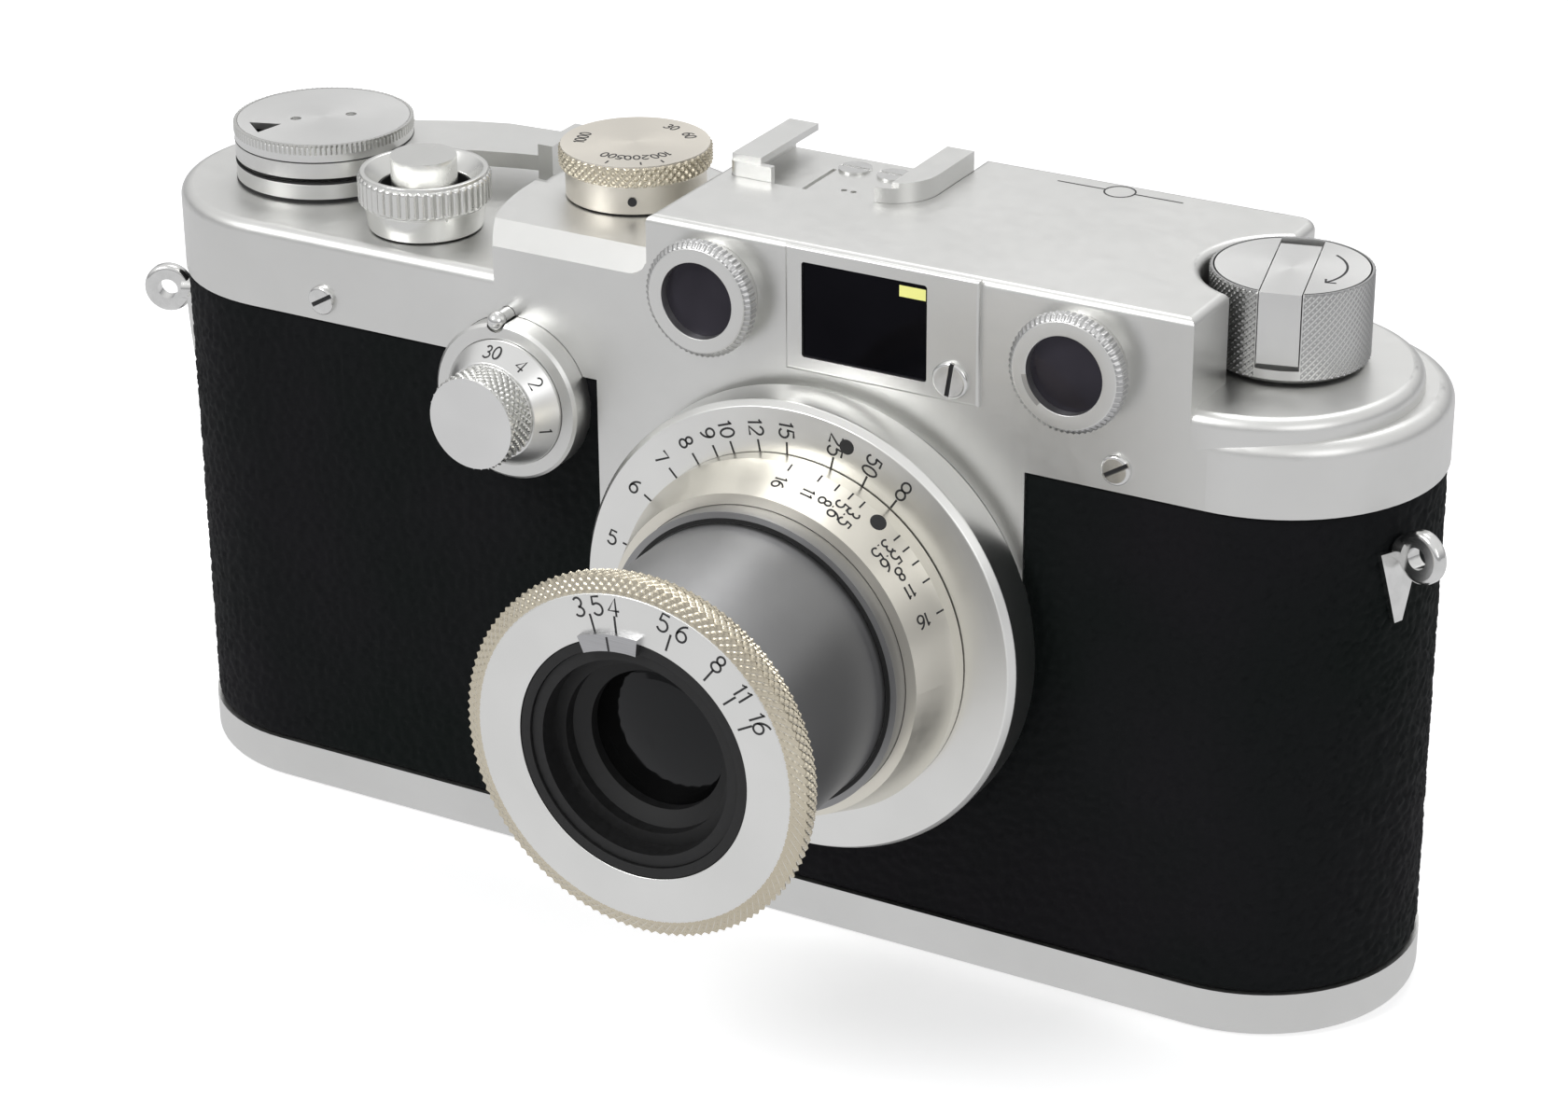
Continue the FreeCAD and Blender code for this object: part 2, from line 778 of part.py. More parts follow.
def cover_inside():
    """The hollow of the top cover."""
    wall = dim("cover_wall")
    ledge = racetrack("ledge_hollow", wall, 50, dim("ledge_top") - wall)
    deck = left_deck_volume("deck_hollow", wall, dim("deck_top") - wall)
    platform = rod("platform_hollow", dim("platform_radius") - wall - 0.4, 58,
                   dim("platform_top") - wall, dim("platform_x"), dim("platform_y"))
    housing = cut("housing_room", housing_volume("housing_hollow", wall), shoe_support(wall))
    low = pedestal_volume("pedestal_low", wall, dim("pedestal_top") - 2.6)
    high = rod("pedestal_high", dim("pedestal_radius") - wall - 0.3, 58,
               dim("pedestal_top") - wall, dim("pedestal_x"), dim("pedestal_y"))
    return fuse("cover_inside", ledge, deck, platform, housing, low, high)


def slope_wedge():
    """What the sloping front of the speed-dial island leaves free, round at its right end."""
    start = dim("slope_start")
    foot = dim("slope_foot")
    top = dim("pedestal_top")
    wedge = prism("slope", [(-start, top + 0.001), (-start, top + 3), (-20, top + 3),
                            (-20, foot - 1.4), (-dim("body_depth") / 2, foot)], -40, dim("deck_end"))
    turn = FreeCAD.Rotation(FreeCAD.Vector(0, 1, 0), FreeCAD.Vector(0, 0, 1),
                            FreeCAD.Vector(1, 0, 0), "ZXY")
    place(wedge, 0, 0, 0, turn)
    limit = box("slope_limit", (-40, dim("deck_end")), (-25, 0), (foot, 80))
    lowest = DIMENSIONS["slope_foot"] + 1
    limit = rounded("slope_limit_soft", limit, DIMENSIONS["slope_corner"],
                    lambda edge: edge.BoundBox.YLength > 5 and edge.BoundBox.ZMax < lowest
                    and edge.BoundBox.XMin > -10)
    return common("slope_rounded", wedge, limit)


def window_holes():
    holes = [forward_rod("near_window_hole", dim("spigot_radius"), 10, 20,
                         dim("near_window_x"), dim("finder_height")),
             forward_rod("far_window_hole", dim("spigot_radius"), 10, 20,
                         dim("far_window_x"), dim("finder_height")),
             box("view_window_hole", (dim("window_left"), dim("window_right")), (-20, -10),
                 (dim("window_bottom"), dim("window_top")))]
    for name in ("view", "range"):
        holes.append(forward_rod(name + "_eyepiece_hole", dim("eyepiece_spigot"), -20, -10,
                                 dim(name + "_eyepiece_x"), dim("finder_height")))
    return holes


def control_holes():
    """The bores for the controls on top and for the slow-dial lock pin."""
    fit = dim("running_fit")
    return [rod("wind_hole", dim("wind_neck") + fit, 58, 64, dim("wind_x")),
            rod("release_hole", dim("button_stem") + 0.3, 58, 64, dim("release_x"),
                dim("release_y")),
            rod("dial_hole", dim("spindle_radius") + fit, 60, 68, dim("drum_x"), dim("drum_y")),
            rod("rewind_hole", dim("rewind_shaft") + fit, 58, 64, dim("rewind_x")),
            forward_rod("lock_pin_hole", dim("lock_pin_stem") + fit, 10, 20,
                        dim("lock_pin_x"), dim("lock_pin_height")),
            forward_rod("slow_base_seat", dim("slow_radius") + fit, 14, 20,
                        dim("slow_x"), dim("slow_height")),
            forward_rod("plate_screw_bore", dim("screw_shank"), 14, 20,
                        dim("plate_screw_x"), dim("plate_screw_height")),
            forward_rod("sync_hole", dim("sync_spigot"), -20, -14, dim("sync_x"),
                        dim("sync_height")),
            forward_rod("cover_throat", dim("mount_radius") + 0.05, 14, 20,
                        dim("lens_x"), dim("lens_height"))]


def top_cover():
    sloped = cut("cover_sloped", cover_outside(), slope_wedge())
    pocket = shoe_outline("shoe_pocket", dim("running_fit") * -1, dim("shoe_seat"), 80)
    cover = cut("cover", sloped, cover_inside(), pocket, *window_holes(), *control_holes(),
                *screw_holes("cover"))
    return subpart(cover, "top_cover")


def shoe_outline(tag, inset, low, high):
    """The shoe seen from above, set in by inset, with its wide and its narrow front corner."""
    blank = box(tag + "_blank", (dim("shoe_left") + inset, dim("shoe_right") - inset),
                (dim("shoe_front") + inset, dim("shoe_back")), (low, high))
    wide = rounded(tag + "_wide", blank, DIMENSIONS["shoe_wide_corner"] - inset.value,
                   lambda edge: upright(edge) and edge.BoundBox.YMax < 0 < edge.BoundBox.XMin)
    return rounded(tag, wide, DIMENSIONS["shoe_narrow_corner"] - inset.value,
                   lambda edge: upright(edge) and edge.BoundBox.YMax < 0 and edge.BoundBox.XMin < -3)


def shoe_support(wall):
    """The thicker part of the top cover that the shoe is let into."""
    return box("shoe_support", (dim("shoe_left") - wall, dim("shoe_right") + wall),
               (dim("shoe_front") - wall, 20), (dim("shoe_seat") - wall, 80))


def accessory_shoe():
    """A folded rail plate let into the housing: two lips, a stop at the front, open behind."""
    wall = dim("shoe_wall")
    floor = dim("shoe_floor")
    blank = shoe_outline("shoe_blank", as_size(0), dim("shoe_seat"), dim("shoe_top"))
    channel = shoe_outline("shoe_channel", wall, floor, dim("shoe_top") - dim("shoe_lip"))
    behind = box("shoe_behind", (dim("shoe_left") + wall, dim("shoe_right") - wall),
                 (dim("shoe_back") - 1, 20), (floor, dim("shoe_top") - dim("shoe_lip")))
    gap = box("shoe_gap", (dim("shoe_gap_left"), dim("shoe_gap_right")),
              (dim("shoe_front") + wall, 20), (floor, 80))
    stop_gap = box("shoe_stop_gap", (dim("shoe_stop_left"), dim("shoe_stop_right")),
                   (-20, 0), (floor, 80))
    stop_height = box("shoe_stop_height", (-20, 20), (-20, dim("shoe_front") + wall),
                      (dim("shoe_stop_top"), 80))
    slit = box("shoe_slit", (dim("shoe_slit_x"), dim("shoe_slit_x") + dim("shoe_slit_width")),
               (-20, dim("shoe_slit_back")), (60, floor + 1))
    holes = [rod("shoe_hole%d" % number, dim("shoe_hole_radius"), 60, 72,
                 dim("shoe_hole_x") + dim("shoe_hole_radius") * side * 1.7, dim("shoe_hole_y"))
             for number, side in enumerate((-1, 1))]
    return subpart(cut("shoe", blank, channel, behind, gap, stop_gap, stop_height, slit, *holes),
                   "accessory_shoe")


def accessory_shoe_screws():
    screws = []
    low = dim("shoe_floor")
    slot_half = dim("screw_slot") / 2
    for number, side in enumerate((-1, 1)):
        head = rod("shoe_screw_head%d" % number, dim("shoe_screw_head"), low,
                   low + dim("shoe_screw_height"))
        slot = box("shoe_screw_slot%d" % number, (-2, 2), (-slot_half, slot_half),
                   (low + 0.1, low + 1))
        screw = cut("shoe_screw%d" % number, head, slot)
        place(screw, dim("shoe_screw_x") + dim("shoe_screw_spread") * side, dim("shoe_screw_y"))
        screws.append(screw)
    return subpart(fuse("shoe_screw_set", *screws), "accessory_shoe_screws")


# ---------------------------------------------------------------- finder

def viewfinder_plate():
    slab = box("plate_slab", (dim("plate_left"), dim("plate_right")),
               (-dim("plate_front"), -dim("body_depth") / 2),
               (dim("plate_bottom"), dim("housing_top")))
    front = -DIMENSIONS["plate_front"]
    soft = rounded("plate_soft", slab, DIMENSIONS["plate_round"],
                   lambda edge: abs(edge.BoundBox.YMax - front) < 1e-4)
    opening = box("plate_opening", (dim("window_left"), dim("window_right")), (-20, -10),
                  (dim("window_bottom"), dim("window_top")))
    opening = rounded("plate_opening_soft", opening, DIMENSIONS["window_corner"],
                      lambda edge: edge.BoundBox.YLength > 5)
    hole = forward_rod("plate_screw_hole", dim("screw_shank"), 10, 20,
                       dim("plate_screw_x"), dim("plate_screw_height"))
    return subpart(cut("plate", soft, opening, hole), "viewfinder_plate")


def viewfinder_window():
    pane = box("window_pane", (dim("window_left") + 0.02, dim("window_right") - 0.02),
               (-16.2, -15.2), (dim("window_bottom") + 0.02, dim("window_top") - 0.02))
    pane = rounded("window_pane_soft", pane, DIMENSIONS["window_corner"],
                   lambda edge: edge.BoundBox.YLength > 0.5)
    return subpart(pane, "viewfinder_window")


def rangefinder_window(side, x):
    """A screwed bezel with its disc of glass."""
    face = dim("body_depth") / 2
    bezel = turned("bezel_" + side, [
        (dim("glass_radius") - 0.4, face - 1.5), (dim("spigot_radius"), face - 1.5),
        (dim("spigot_radius"), face), (dim("bezel_neck"), face),
        (dim("bezel_neck"), dim("bezel_rim_back") - 0.4),
        (dim("bezel_radius"), dim("bezel_rim_back")), (dim("bezel_radius"), dim("bezel_rim_front")),
        (dim("bezel_face_radius"), dim("bezel_front")), (dim("glass_radius"), dim("bezel_front")),
        (dim("glass_radius"), dim("bezel_front") - 2),
        (dim("glass_radius") - 0.4, dim("bezel_front") - 2)])
    glass = rod("glass_" + side, dim("glass_radius"), dim("bezel_front") - 2,
                dim("bezel_front") - 1)
    for thing, kind in ((bezel, "bezel"), (glass, "glass")):
        place(thing, x, 0, dim("finder_height"), FORWARD)
        if kind == "glass":
            bind(thing, "Placement.Base.y", 2 - dim("bezel_front"))
        subpart(thing, "rangefinder_%s_%s" % (kind, side))


def eyepiece(kind):
    """A screwed-in eyepiece on the rear wall, with its lens."""
    x = dim(kind + "_eyepiece_x")
    wall = dim("housing_back")
    ring = turned(kind + "_eyepiece", [
        (dim("eyepiece_hole"), wall - 1.5), (dim("eyepiece_spigot"), wall - 1.5),
        (dim("eyepiece_spigot"), wall), (dim("eyepiece_radius"), wall),
        (dim("eyepiece_radius"), dim("eyepiece_back") - 0.4),
        (dim("eyepiece_radius") - 0.4, dim("eyepiece_back")),
        (dim("eyepiece_hole") + 0.8, dim("eyepiece_back")),
        (dim("eyepiece_hole"), dim("eyepiece_back") - 0.9)])
    lens = rod(kind + "_eyepiece_glass", dim("eyepiece_hole"), 0, 1.2)
    label = "viewfinder" if kind == "view" else "rangefinder"
    subpart(place(ring, x, 0, dim("finder_height"), BACKWARD), label + "_eyepiece")
    subpart(place(lens, x, wall - 1, dim("finder_height"), BACKWARD), label + "_eyepiece_lens")


def finder_block():
    """The bracket that carries the finder's mirrors, on the mechanism plate."""
    floor = dim("mechanism_plate") + dim("mechanism_plate_thick")
    top = dim("finder_block_top")
    front = dim("finder_block_front")
    back = dim("finder_block_back")
    left = dim("finder_tunnel_left")
    right = dim("finder_tunnel_right")
    low = dim("finder_tunnel_bottom")
    foot = box("finder_foot", (-3, 43), (front, back), (floor, floor + 2))
    posts = [box("finder_post%d" % number, (x, x + 6), (front, 3), (floor, top))
             for number, x in enumerate((-2, 36))]
    tunnel = box("finder_tunnel", (left, right), (front, back), (low, top))
    bore = box("finder_bore", (left + 1, right - 1), (-10, 10), (low + 1, top - 1))
    stem = box("finder_stem", (left + 3, right - 3), (-6, 4), (floor, low + 0.5))
    return subpart(cut("finder", fuse("finder_blank", foot, tunnel, stem, *posts), bore),
                   "finder_block")


# ---------------------------------------------------------------- winding side

def wind_base_ring():
    fit = dim("running_fit")
    ring = turned("wind_ring", [
        (dim("wind_shaft") + fit, dim("deck_top") - 1), (dim("wind_neck"), dim("deck_top") - 1),
        (dim("wind_neck"), dim("deck_top")),
        (dim("stack_radius"), dim("deck_top")),
        (dim("stack_radius"), dim("wind_ring_top") - 0.3),
        (dim("stack_radius") - 0.3, dim("wind_ring_top")),
        (dim("wind_shaft") + fit, dim("wind_ring_top"))])
    return subpart(place(ring, dim("wind_x")), "wind_base_ring")


def wind_lever():
    """The hub under the counter cap, with the curved arm and its upturned end."""
    hub = rod("lever_hub", dim("stack_radius"), dim("lever_bottom"), dim("lever_top"))
    end = dim("grip_outer") - 0.3
    arm = prism("lever_arm", [
        (0, 9.0), (2.5, 8.8), (5.9, 8.0), (11, 10.4), (15, 11.7), (20.9, 12.1), (end, 11.5),
        (end, 5.1), (20.9, 4.4), (17, 3.3), (13, 1.7), (9, 0), (0, 0)],
        dim("lever_bottom"), dim("lever_top"))
    grip = box("lever_grip", (dim("grip_inner"), dim("grip_outer")), (4.7, 11.8),
               (dim("grip_bottom"), dim("grip_top")))
    shaft_hole = rod("lever_shaft_hole", dim("wind_shaft"), 60, 70)
    lever = cut("lever", fuse("lever_blank", hub, arm, grip), shaft_hole)
    return subpart(place(lever, dim("wind_x")), "wind_lever")


def counter_cap():
    """The knurled cap over the lever with its three-cornered window."""
    cap = turned("cap_turned", [
        (0, dim("cap_bottom")), (2.8, dim("cap_bottom")), (2.8, dim("cap_top") - dim("cap_wall")),
        (dim("stack_radius") - 0.9, dim("cap_top") - dim("cap_wall")),
        (dim("stack_radius") - 0.9, dim("cap_bottom")), (dim("stack_radius"), dim("cap_bottom")),
        (dim("stack_radius"), dim("cap_top") - 0.3), (dim("stack_radius") - 0.3, dim("cap_top")),
        (0, dim("cap_top"))])
    window = prism("cap_window", [(-5.6, -5.1), (-3.0, -7.2), (-2.4, -4.0)], 66, 70)
    holes = [rod("cap_hole%d" % number, 0.55, dim("cap_top") - 0.5, 70, x, y)
             for number, (x, y) in enumerate(((-2.1, -1.9), (2.1, 1.9)))]
    return subpart(place(cut("cap", cap, window, *holes), dim("wind_x")), "counter_cap")


def counter_dial():
    dial = tube("counter", dim("counter_radius"), dim("counter_bore") - 0.1,
                dim("counter_bottom"), dim("counter_top"))
    return subpart(place(dial, dim("wind_x")), "counter_dial")


def mesh_phase(first_teeth, first_phase, direction, second_teeth):
    """The angle of a tooth of the second gear when it meshes with the first, in degrees."""
    first_pitch = 360 / first_teeth
    second_pitch = 360 / second_teeth
    share = ((direction - first_phase) / first_pitch) % 1
    return direction + 180 + (share - 0.5) * second_pitch


def gear(name, teeth, phase, low, high, bore=0):
    """A spur gear about Z with straight-flanked teeth; one tooth points at the phase angle."""
    pitch = dim("tooth_size") * dim(teeth) / 2
    body = document.addObject("PartDesign::Body", name)
    root = body.newObject("Sketcher::SketchObject", name + "_root")
    root.AttachmentSupport = [(origin_plane(body, "XY_Plane"), "")]
    root.MapMode = "FlatFace"
    bind(root, "AttachmentOffset.Base.z", low)
    for number, radius in enumerate([pitch - dim("tooth_size") * 1.2] + ([bore] if bore else [])):
        radius = as_size(radius)
        centre = FreeCAD.Vector(0, 0, 0)
        root.addGeometry(Part.Circle(centre, FreeCAD.Vector(0, 0, 1), radius.value), False)
        root.addConstraint(Sketcher.Constraint("Coincident", number, 3, -1, 1))
        index = root.addConstraint(Sketcher.Constraint("Radius", number, radius.value))
        bind(root, "Constraints[%d]" % index, radius)
    disc = body.newObject("PartDesign::Pad", name + "_disc")
    disc.Profile = root
    bind(disc, "Length", as_size(high) - low)
    module_size = dim("tooth_size")
    foot = pitch - module_size * 1.4
    tip = pitch + module_size * 0.8
    tooth = outline(body, name + "_tooth", "XY_Plane", [
        (foot, -module_size * 0.75), (tip, -module_size * 0.3), (tip, module_size * 0.3),
        (foot, module_size * 0.75)])
    bind(tooth, "AttachmentOffset.Base.z", low)
    tooth_pad = body.newObject("PartDesign::Pad", name + "_tooth_pad")
    tooth_pad.Profile = tooth
    bind(tooth_pad, "Length", as_size(high) - low)
    document.recompute()
    pattern = body.newObject("PartDesign::PolarPattern", name + "_teeth")
    pattern.Originals = [tooth_pad]
    pattern.Axis = (root, ["N_Axis"])
    pattern.Angle = 360
    bind(pattern, "Occurrences", dim(teeth))
    body.Tip = pattern
    place(body, 0, 0, 0, FreeCAD.Rotation(FreeCAD.Vector(0, 0, 1), phase))
    return body


def gear_train():
    """Wind gear, two-stage idler, sprocket gear and spool gear, in mesh."""
    wind_x = DIMENSIONS["wind_x"]
    idler = (DIMENSIONS["idler_x"], DIMENSIONS["idler_y"])
    to_idler = math.degrees(math.atan2(idler[1], idler[0] - wind_x))
    to_sprocket = math.degrees(math.atan2(DIMENSIONS["sprocket_y"] - idler[1],
                                          DIMENSIONS["sprocket_x"] - idler[0]))
    back = to_idler + 180
    return {"wind": to_idler,
            "idler_upper": mesh_phase(DIMENSIONS["wind_teeth"], to_idler, to_idler,
                                      DIMENSIONS["idler_upper_teeth"]),
            "idler_lower": back,
            "spool": mesh_phase(DIMENSIONS["idler_lower_teeth"], back, back,
                                DIMENSIONS["spool_teeth"]),
            "sprocket": mesh_phase(DIMENSIONS["idler_lower_teeth"], back, to_sprocket,
                                   DIMENSIONS["sprocket_gear_teeth"])}


def wind_gear(phases):
    level = dim("upper_gear_level")
    wheel = gear("wind_wheel", "wind_teeth", phases["wind"], level, level + dim("gear_thick"))
    shaft = rod("wind_shaft_rod", dim("wind_shaft"), level, dim("cap_bottom"))
    return subpart(place(fuse("wind_gear_all", wheel, shaft), dim("wind_x")), "wind_gear")


def idler_gear(phases):
    upper = dim("upper_gear_level")
    lower = dim("lower_gear_level")
    thick = dim("gear_thick")
    bore = as_size(1.05)
    first = gear("idler_upper", "idler_upper_teeth", phases["idler_upper"], upper,
                 upper + thick, bore)
    second = gear("idler_lower", "idler_lower_teeth", phases["idler_lower"], lower,
                  lower + thick, bore)
    hub = tube("idler_hub", 2.4, bore, lower, upper + thick)
    wheel = fuse("idler_all", first, second, hub)
    return subpart(place(wheel, dim("idler_x"), dim("idler_y")), "idler_gear")


def sprocket_shaft(phases):
    level = dim("lower_gear_level")
    wheel = gear("sprocket_wheel", "sprocket_gear_teeth", phases["sprocket"], level,
                 level + dim("gear_thick"))
    shaft = rod("sprocket_rod", 1.8, dim("film_drive_bottom"), level + dim("gear_thick"))
    core = turned("sprocket_core", [
        (0, 14), (dim("sprocket_radius"), 14), (dim("sprocket_radius"), 16.5),
        (dim("sprocket_rim"), 17), (dim("sprocket_rim"), 21), (3.5, 23), (3.5, 42),
        (dim("sprocket_rim"), 44), (dim("sprocket_rim"), 48), (dim("sprocket_radius"), 48.5),
        (dim("sprocket_radius"), 51), (0, 51)])
    teeth = []
    for number in range(int(DIMENSIONS["sprocket_teeth"])):
        for row, height in enumerate((19, 46)):
            tooth = box("sprocket_tooth%d_%d" % (row, number), (5.5, 6.9), (-0.5, 0.5),
                        (height - 0.9, height + 0.9))
            angle = 360 * number / DIMENSIONS["sprocket_teeth"]
            turn = FreeCAD.Rotation(FreeCAD.Vector(0, 0, 1), angle)
            corner = turn.multVec(FreeCAD.Vector(5.5, -0.5, 0))
            place(tooth, corner.x, corner.y, height - 0.9, turn)
            teeth.append(tooth)
    whole = fuse("sprocket_all", wheel, shaft, core, *teeth)
    return subpart(place(whole, dim("sprocket_x"), dim("sprocket_y")), "sprocket_shaft")


def take_up_spool(phases):
    level = dim("lower_gear_level")
    wheel = gear("spool_wheel", "spool_teeth", phases["spool"], level, level + dim("gear_thick"))
    low = dim("film_drive_bottom")
    high = dim("film_drive_top")
    shaft = rod("spool_rod", 1.8, low, level + dim("gear_thick"))
    drum = turned("spool_drum", [
        (0, low), (dim("spool_flange"), low), (dim("spool_flange"), low + 1.2),
        (dim("spool_core"), low + 1.2), (dim("spool_core"), high - 1.2),
        (dim("spool_flange"), high - 1.2), (dim("spool_flange"), high), (0, high)])
    slit = box("spool_slit", (-8, 8), (-0.4, 0.4), (24, 40))
    whole = cut("spool_all", fuse("spool_blank", wheel, shaft, drum), slit)
    return subpart(place(whole, dim("wind_x")), "take_up_spool")


def release_parts():
    x = dim("release_x")
    y = dim("release_y")
    collar = turned("collar", [
        (dim("collar_hole"), dim("collar_bottom")), (dim("collar_foot"), dim("collar_bottom")),
        (dim("collar_radius") - 0.5, dim("collar_step")), (dim("collar_radius"), dim("collar_step")),
        (dim("collar_radius"), dim("collar_top") - 0.3),
        (dim("collar_radius") - 0.3, dim("collar_top")),
        (dim("collar_radius") - 0.8, dim("collar_top")),
        (dim("collar_hole"), dim("collar_top") - 1.5)])
    low = dim("button_flange_bottom")
    button = turned("button", [
        (0, dim("button_tail")), (dim("button_stem"), dim("button_tail")),
        (dim("button_stem"), low), (dim("button_flange"), low),
        (dim("button_flange"), low + 0.6), (dim("button_radius"), low + 0.6),
        (dim("button_radius"), dim("button_top") - 0.35),
        (dim("button_radius") - 0.35, dim("button_top")), (0, dim("button_top"))])
    spring = tube("spring", dim("spring_radius"), dim("spring_bore"), dim("deck_top"), low)
    subpart(place(collar, x, y), "release_collar")
    subpart(place(button, x, y), "release_button")
    subpart(place(spring, x, y), "release_spring")


def speed_dial():
    dial = turned("speed", [
        (1.65, dim("dial_bottom")), (dim("dial_skirt_radius"), dim("dial_bottom")),
        (dim("dial_skirt_radius"), dim("dial_step")), (dim("dial_radius"), dim("dial_step")),
        (dim("dial_radius"), dim("dial_top") - 0.3), (dim("dial_radius") - 0.3, dim("dial_top")),
        (0, dim("dial_top")), (0, 70.5), (1.65, 70.5)])
    return subpart(place(dial, dim("drum_x"), dim("drum_y")), "speed_dial")


def speed_spindle():
    spindle = rod("spindle", dim("spindle_radius"), dim("film_drive_top") + 0.2, 68.9,
                  dim("drum_x"), dim("drum_y"))
    return subpart(spindle, "speed_spindle")


def slow_dial_base(x, z):
    """The dish on the front that the slow dial turns in, notched for the lock pin."""
    skin = dim("body_depth") / 2 - dim("shell_inset")
    seat = dim("slow_disc_radius") + dim("running_fit")
    bore = dim("slow_shaft") + 0.1
    radius = dim("slow_radius")
    floor = dim("slow_base_front")
    rim = dim("slow_rim_front")
    dish = turned("slow_dish", [
        (bore, skin), (radius, skin), (radius, rim - 0.3), (radius - 0.3, rim), (seat, rim),
        (seat, floor), (bore, floor)])
    notch = rod("slow_notch", dim("lock_pin_ball") + 0.1, 10, 20, dim("lock_pin_x") - x,
                dim("lock_pin_height") - z)
    return subpart(place(cut("slow_base", dish, notch), x, 0, z, FORWARD), "slow_dial_base")


def slow_dial(x, z):
    """The slow-speed dial: a shaft, a disc with a steep numbered skirt, and the knurled knob."""
    shaft = dim("slow_shaft")
    disc = dim("slow_disc_radius")
    knob = dim("slow_knob_radius")
    floor = dim("slow_base_front") + 0.05
    front = dim("slow_knob_front")
    dial = turned("slow", [
        (0, dim("slow_shaft_back")), (shaft, dim("slow_shaft_back")), (shaft, floor),
        (disc, floor), (disc, dim("slow_skirt_foot")), (knob, dim("slow_skirt_top")),
        (knob, front - 0.3), (knob - 0.3, front), (0, front)])
    return subpart(place(dial, x, 0, z, FORWARD), "slow_dial")


def slow_dial_parts():
    x = dim("slow_x")
    z = dim("slow_height")
    slow_dial_base(x, z)
    slow_dial(x, z)


def slow_dial_lock_pin():
    back = dim("lock_pin_back")
    front = dim("lock_pin_front")
    stem = rod("pin_stem", dim("lock_pin_stem"), back, front)
    ball = document.addObject("Part::Sphere", "pin_ball")
    bind(ball, "Radius", dim("lock_pin_ball"))
    place(ball, 0, 0, front)
    stop = rod("pin_stop", dim("lock_pin_stop"), back, back + 0.5)
    pin = fuse("pin", stem, ball, stop)
    return subpart(place(pin, dim("lock_pin_x"), 0, dim("lock_pin_height"), FORWARD),
                   "slow_dial_lock_pin")


def flash_sync_socket():
    wall = dim("body_depth") / 2
    floor = wall + 0.5
    rim = dim("sync_rim")
    bore = dim("sync_bore")
    socket = turned("sync", [
        (0, wall - 1), (dim("sync_spigot"), wall - 1), (dim("sync_spigot"), wall), (rim, wall),
        (rim, dim("sync_front")), (bore, dim("sync_front")), (bore, floor), (0, floor)])
    return subpart(place(socket, dim("sync_x"), 0, dim("sync_height"), BACKWARD),
                   "flash_sync_socket")


# ---------------------------------------------------------------- shutter

def shutter_crate():
    """The open box behind the lens with the film gate, and the plate that bears the shafts."""
    wall = dim("crate_wall")
    top = dim("mechanism_plate") + dim("mechanism_plate_thick")
    outer = box("crate_outer", (dim("crate_left"), dim("crate_right")),
                (-dim("crate_front"), dim("crate_back")), (dim("crate_bottom"), top))
    inner = box("crate_inner", (dim("crate_left") + wall, dim("crate_right") - wall),
                (-dim("crate_front") + wall, dim("crate_back") - 1.8),
                (dim("crate_bottom") + wall, dim("mechanism_plate") - 1))
    throat = forward_rod("crate_throat_hole", dim("crate_throat") - 0.6, 8, 20, dim("lens_x"),
                         dim("lens_height"))
    half_width = dim("gate_width") / 2
    half_height = dim("gate_height") / 2
    gate = box("film_gate", (dim("lens_x") - half_width, dim("lens_x") + half_width), (5, 20),
               (dim("lens_height") - half_height, dim("lens_height") + half_height))
    box_part = cut("crate_box", outer, inner, throat, gate)
    plate = racetrack("mechanism", dim("shell_inset") + dim("shell_wall") + 0.02,
                      dim("mechanism_plate"), top)
    holes = [rod("spool_shaft_hole", 1.85, 50, 60, dim("wind_x")),
             rod("sprocket_shaft_hole", 1.85, 50, 60, dim("sprocket_x"), dim("sprocket_y")),
             rod("drum_shaft_hole", dim("spindle_radius") + 0.05, 50, 60, dim("drum_x"),
                 dim("drum_y")),
             rod("fork_hole", dim("rewind_shaft") + 0.05, 50, 60, dim("rewind_x")),
             forward_rod("mount_gap", dim("mount_neck") + 0.2, 11, 20, dim("lens_x"),
                         dim("lens_height"))]
    bored = cut("mechanism_bored", plate, *holes)
    pins = [rod("idler_pin", 1.0, top - 0.3, 59.0, dim("idler_x"), dim("idler_y")),
            rod("arm_pin", dim("arm_pin_radius"), dim("arm_bottom") - 0.6, dim("mechanism_plate"),
                dim("arm_pin_x"), dim("arm_pin_y"))]
    return subpart(fuse("crate", box_part, bored, *pins), "shutter_crate")


def curtains():
    """The closed first cloth across the gate, and the second one rolled back beside it."""
    thick = dim("curtain_thick")
    left = dim("crate_left") + 1.2
    for name, right in (("first_curtain", dim("first_curtain_end")),
                        ("second_curtain", dim("second_curtain_end"))):
        y = dim(name + "_y")
        cloth = box(name + "_cloth", (left, right), (y, y + thick),
                    (dim("curtain_bottom"), dim("curtain_top")))
        subpart(cloth, name)


def film_pressure_plate():
    plate = box("pressure", (dim("pressure_left"), dim("pressure_right")),
                (dim("pressure_front"), dim("pressure_front") + 1),
                (dim("pressure_bottom"), dim("pressure_top")))
    return subpart(plate, "film_pressure_plate")


def curtain_drum():
    low = dim("film_drive_bottom")
    high = dim("film_drive_top")
    drum = turned("drum", [
        (0, low - 1), (1.6, low - 1), (1.6, low), (dim("drum_radius"), low),
        (dim("drum_radius"), low + 3), (4.2, low + 3), (4.2, high - 3),
        (dim("drum_radius"), high - 3), (dim("drum_radius"), high), (0, high)])
    return subpart(place(drum, dim("drum_x"), dim("drum_y")), "curtain_drum")


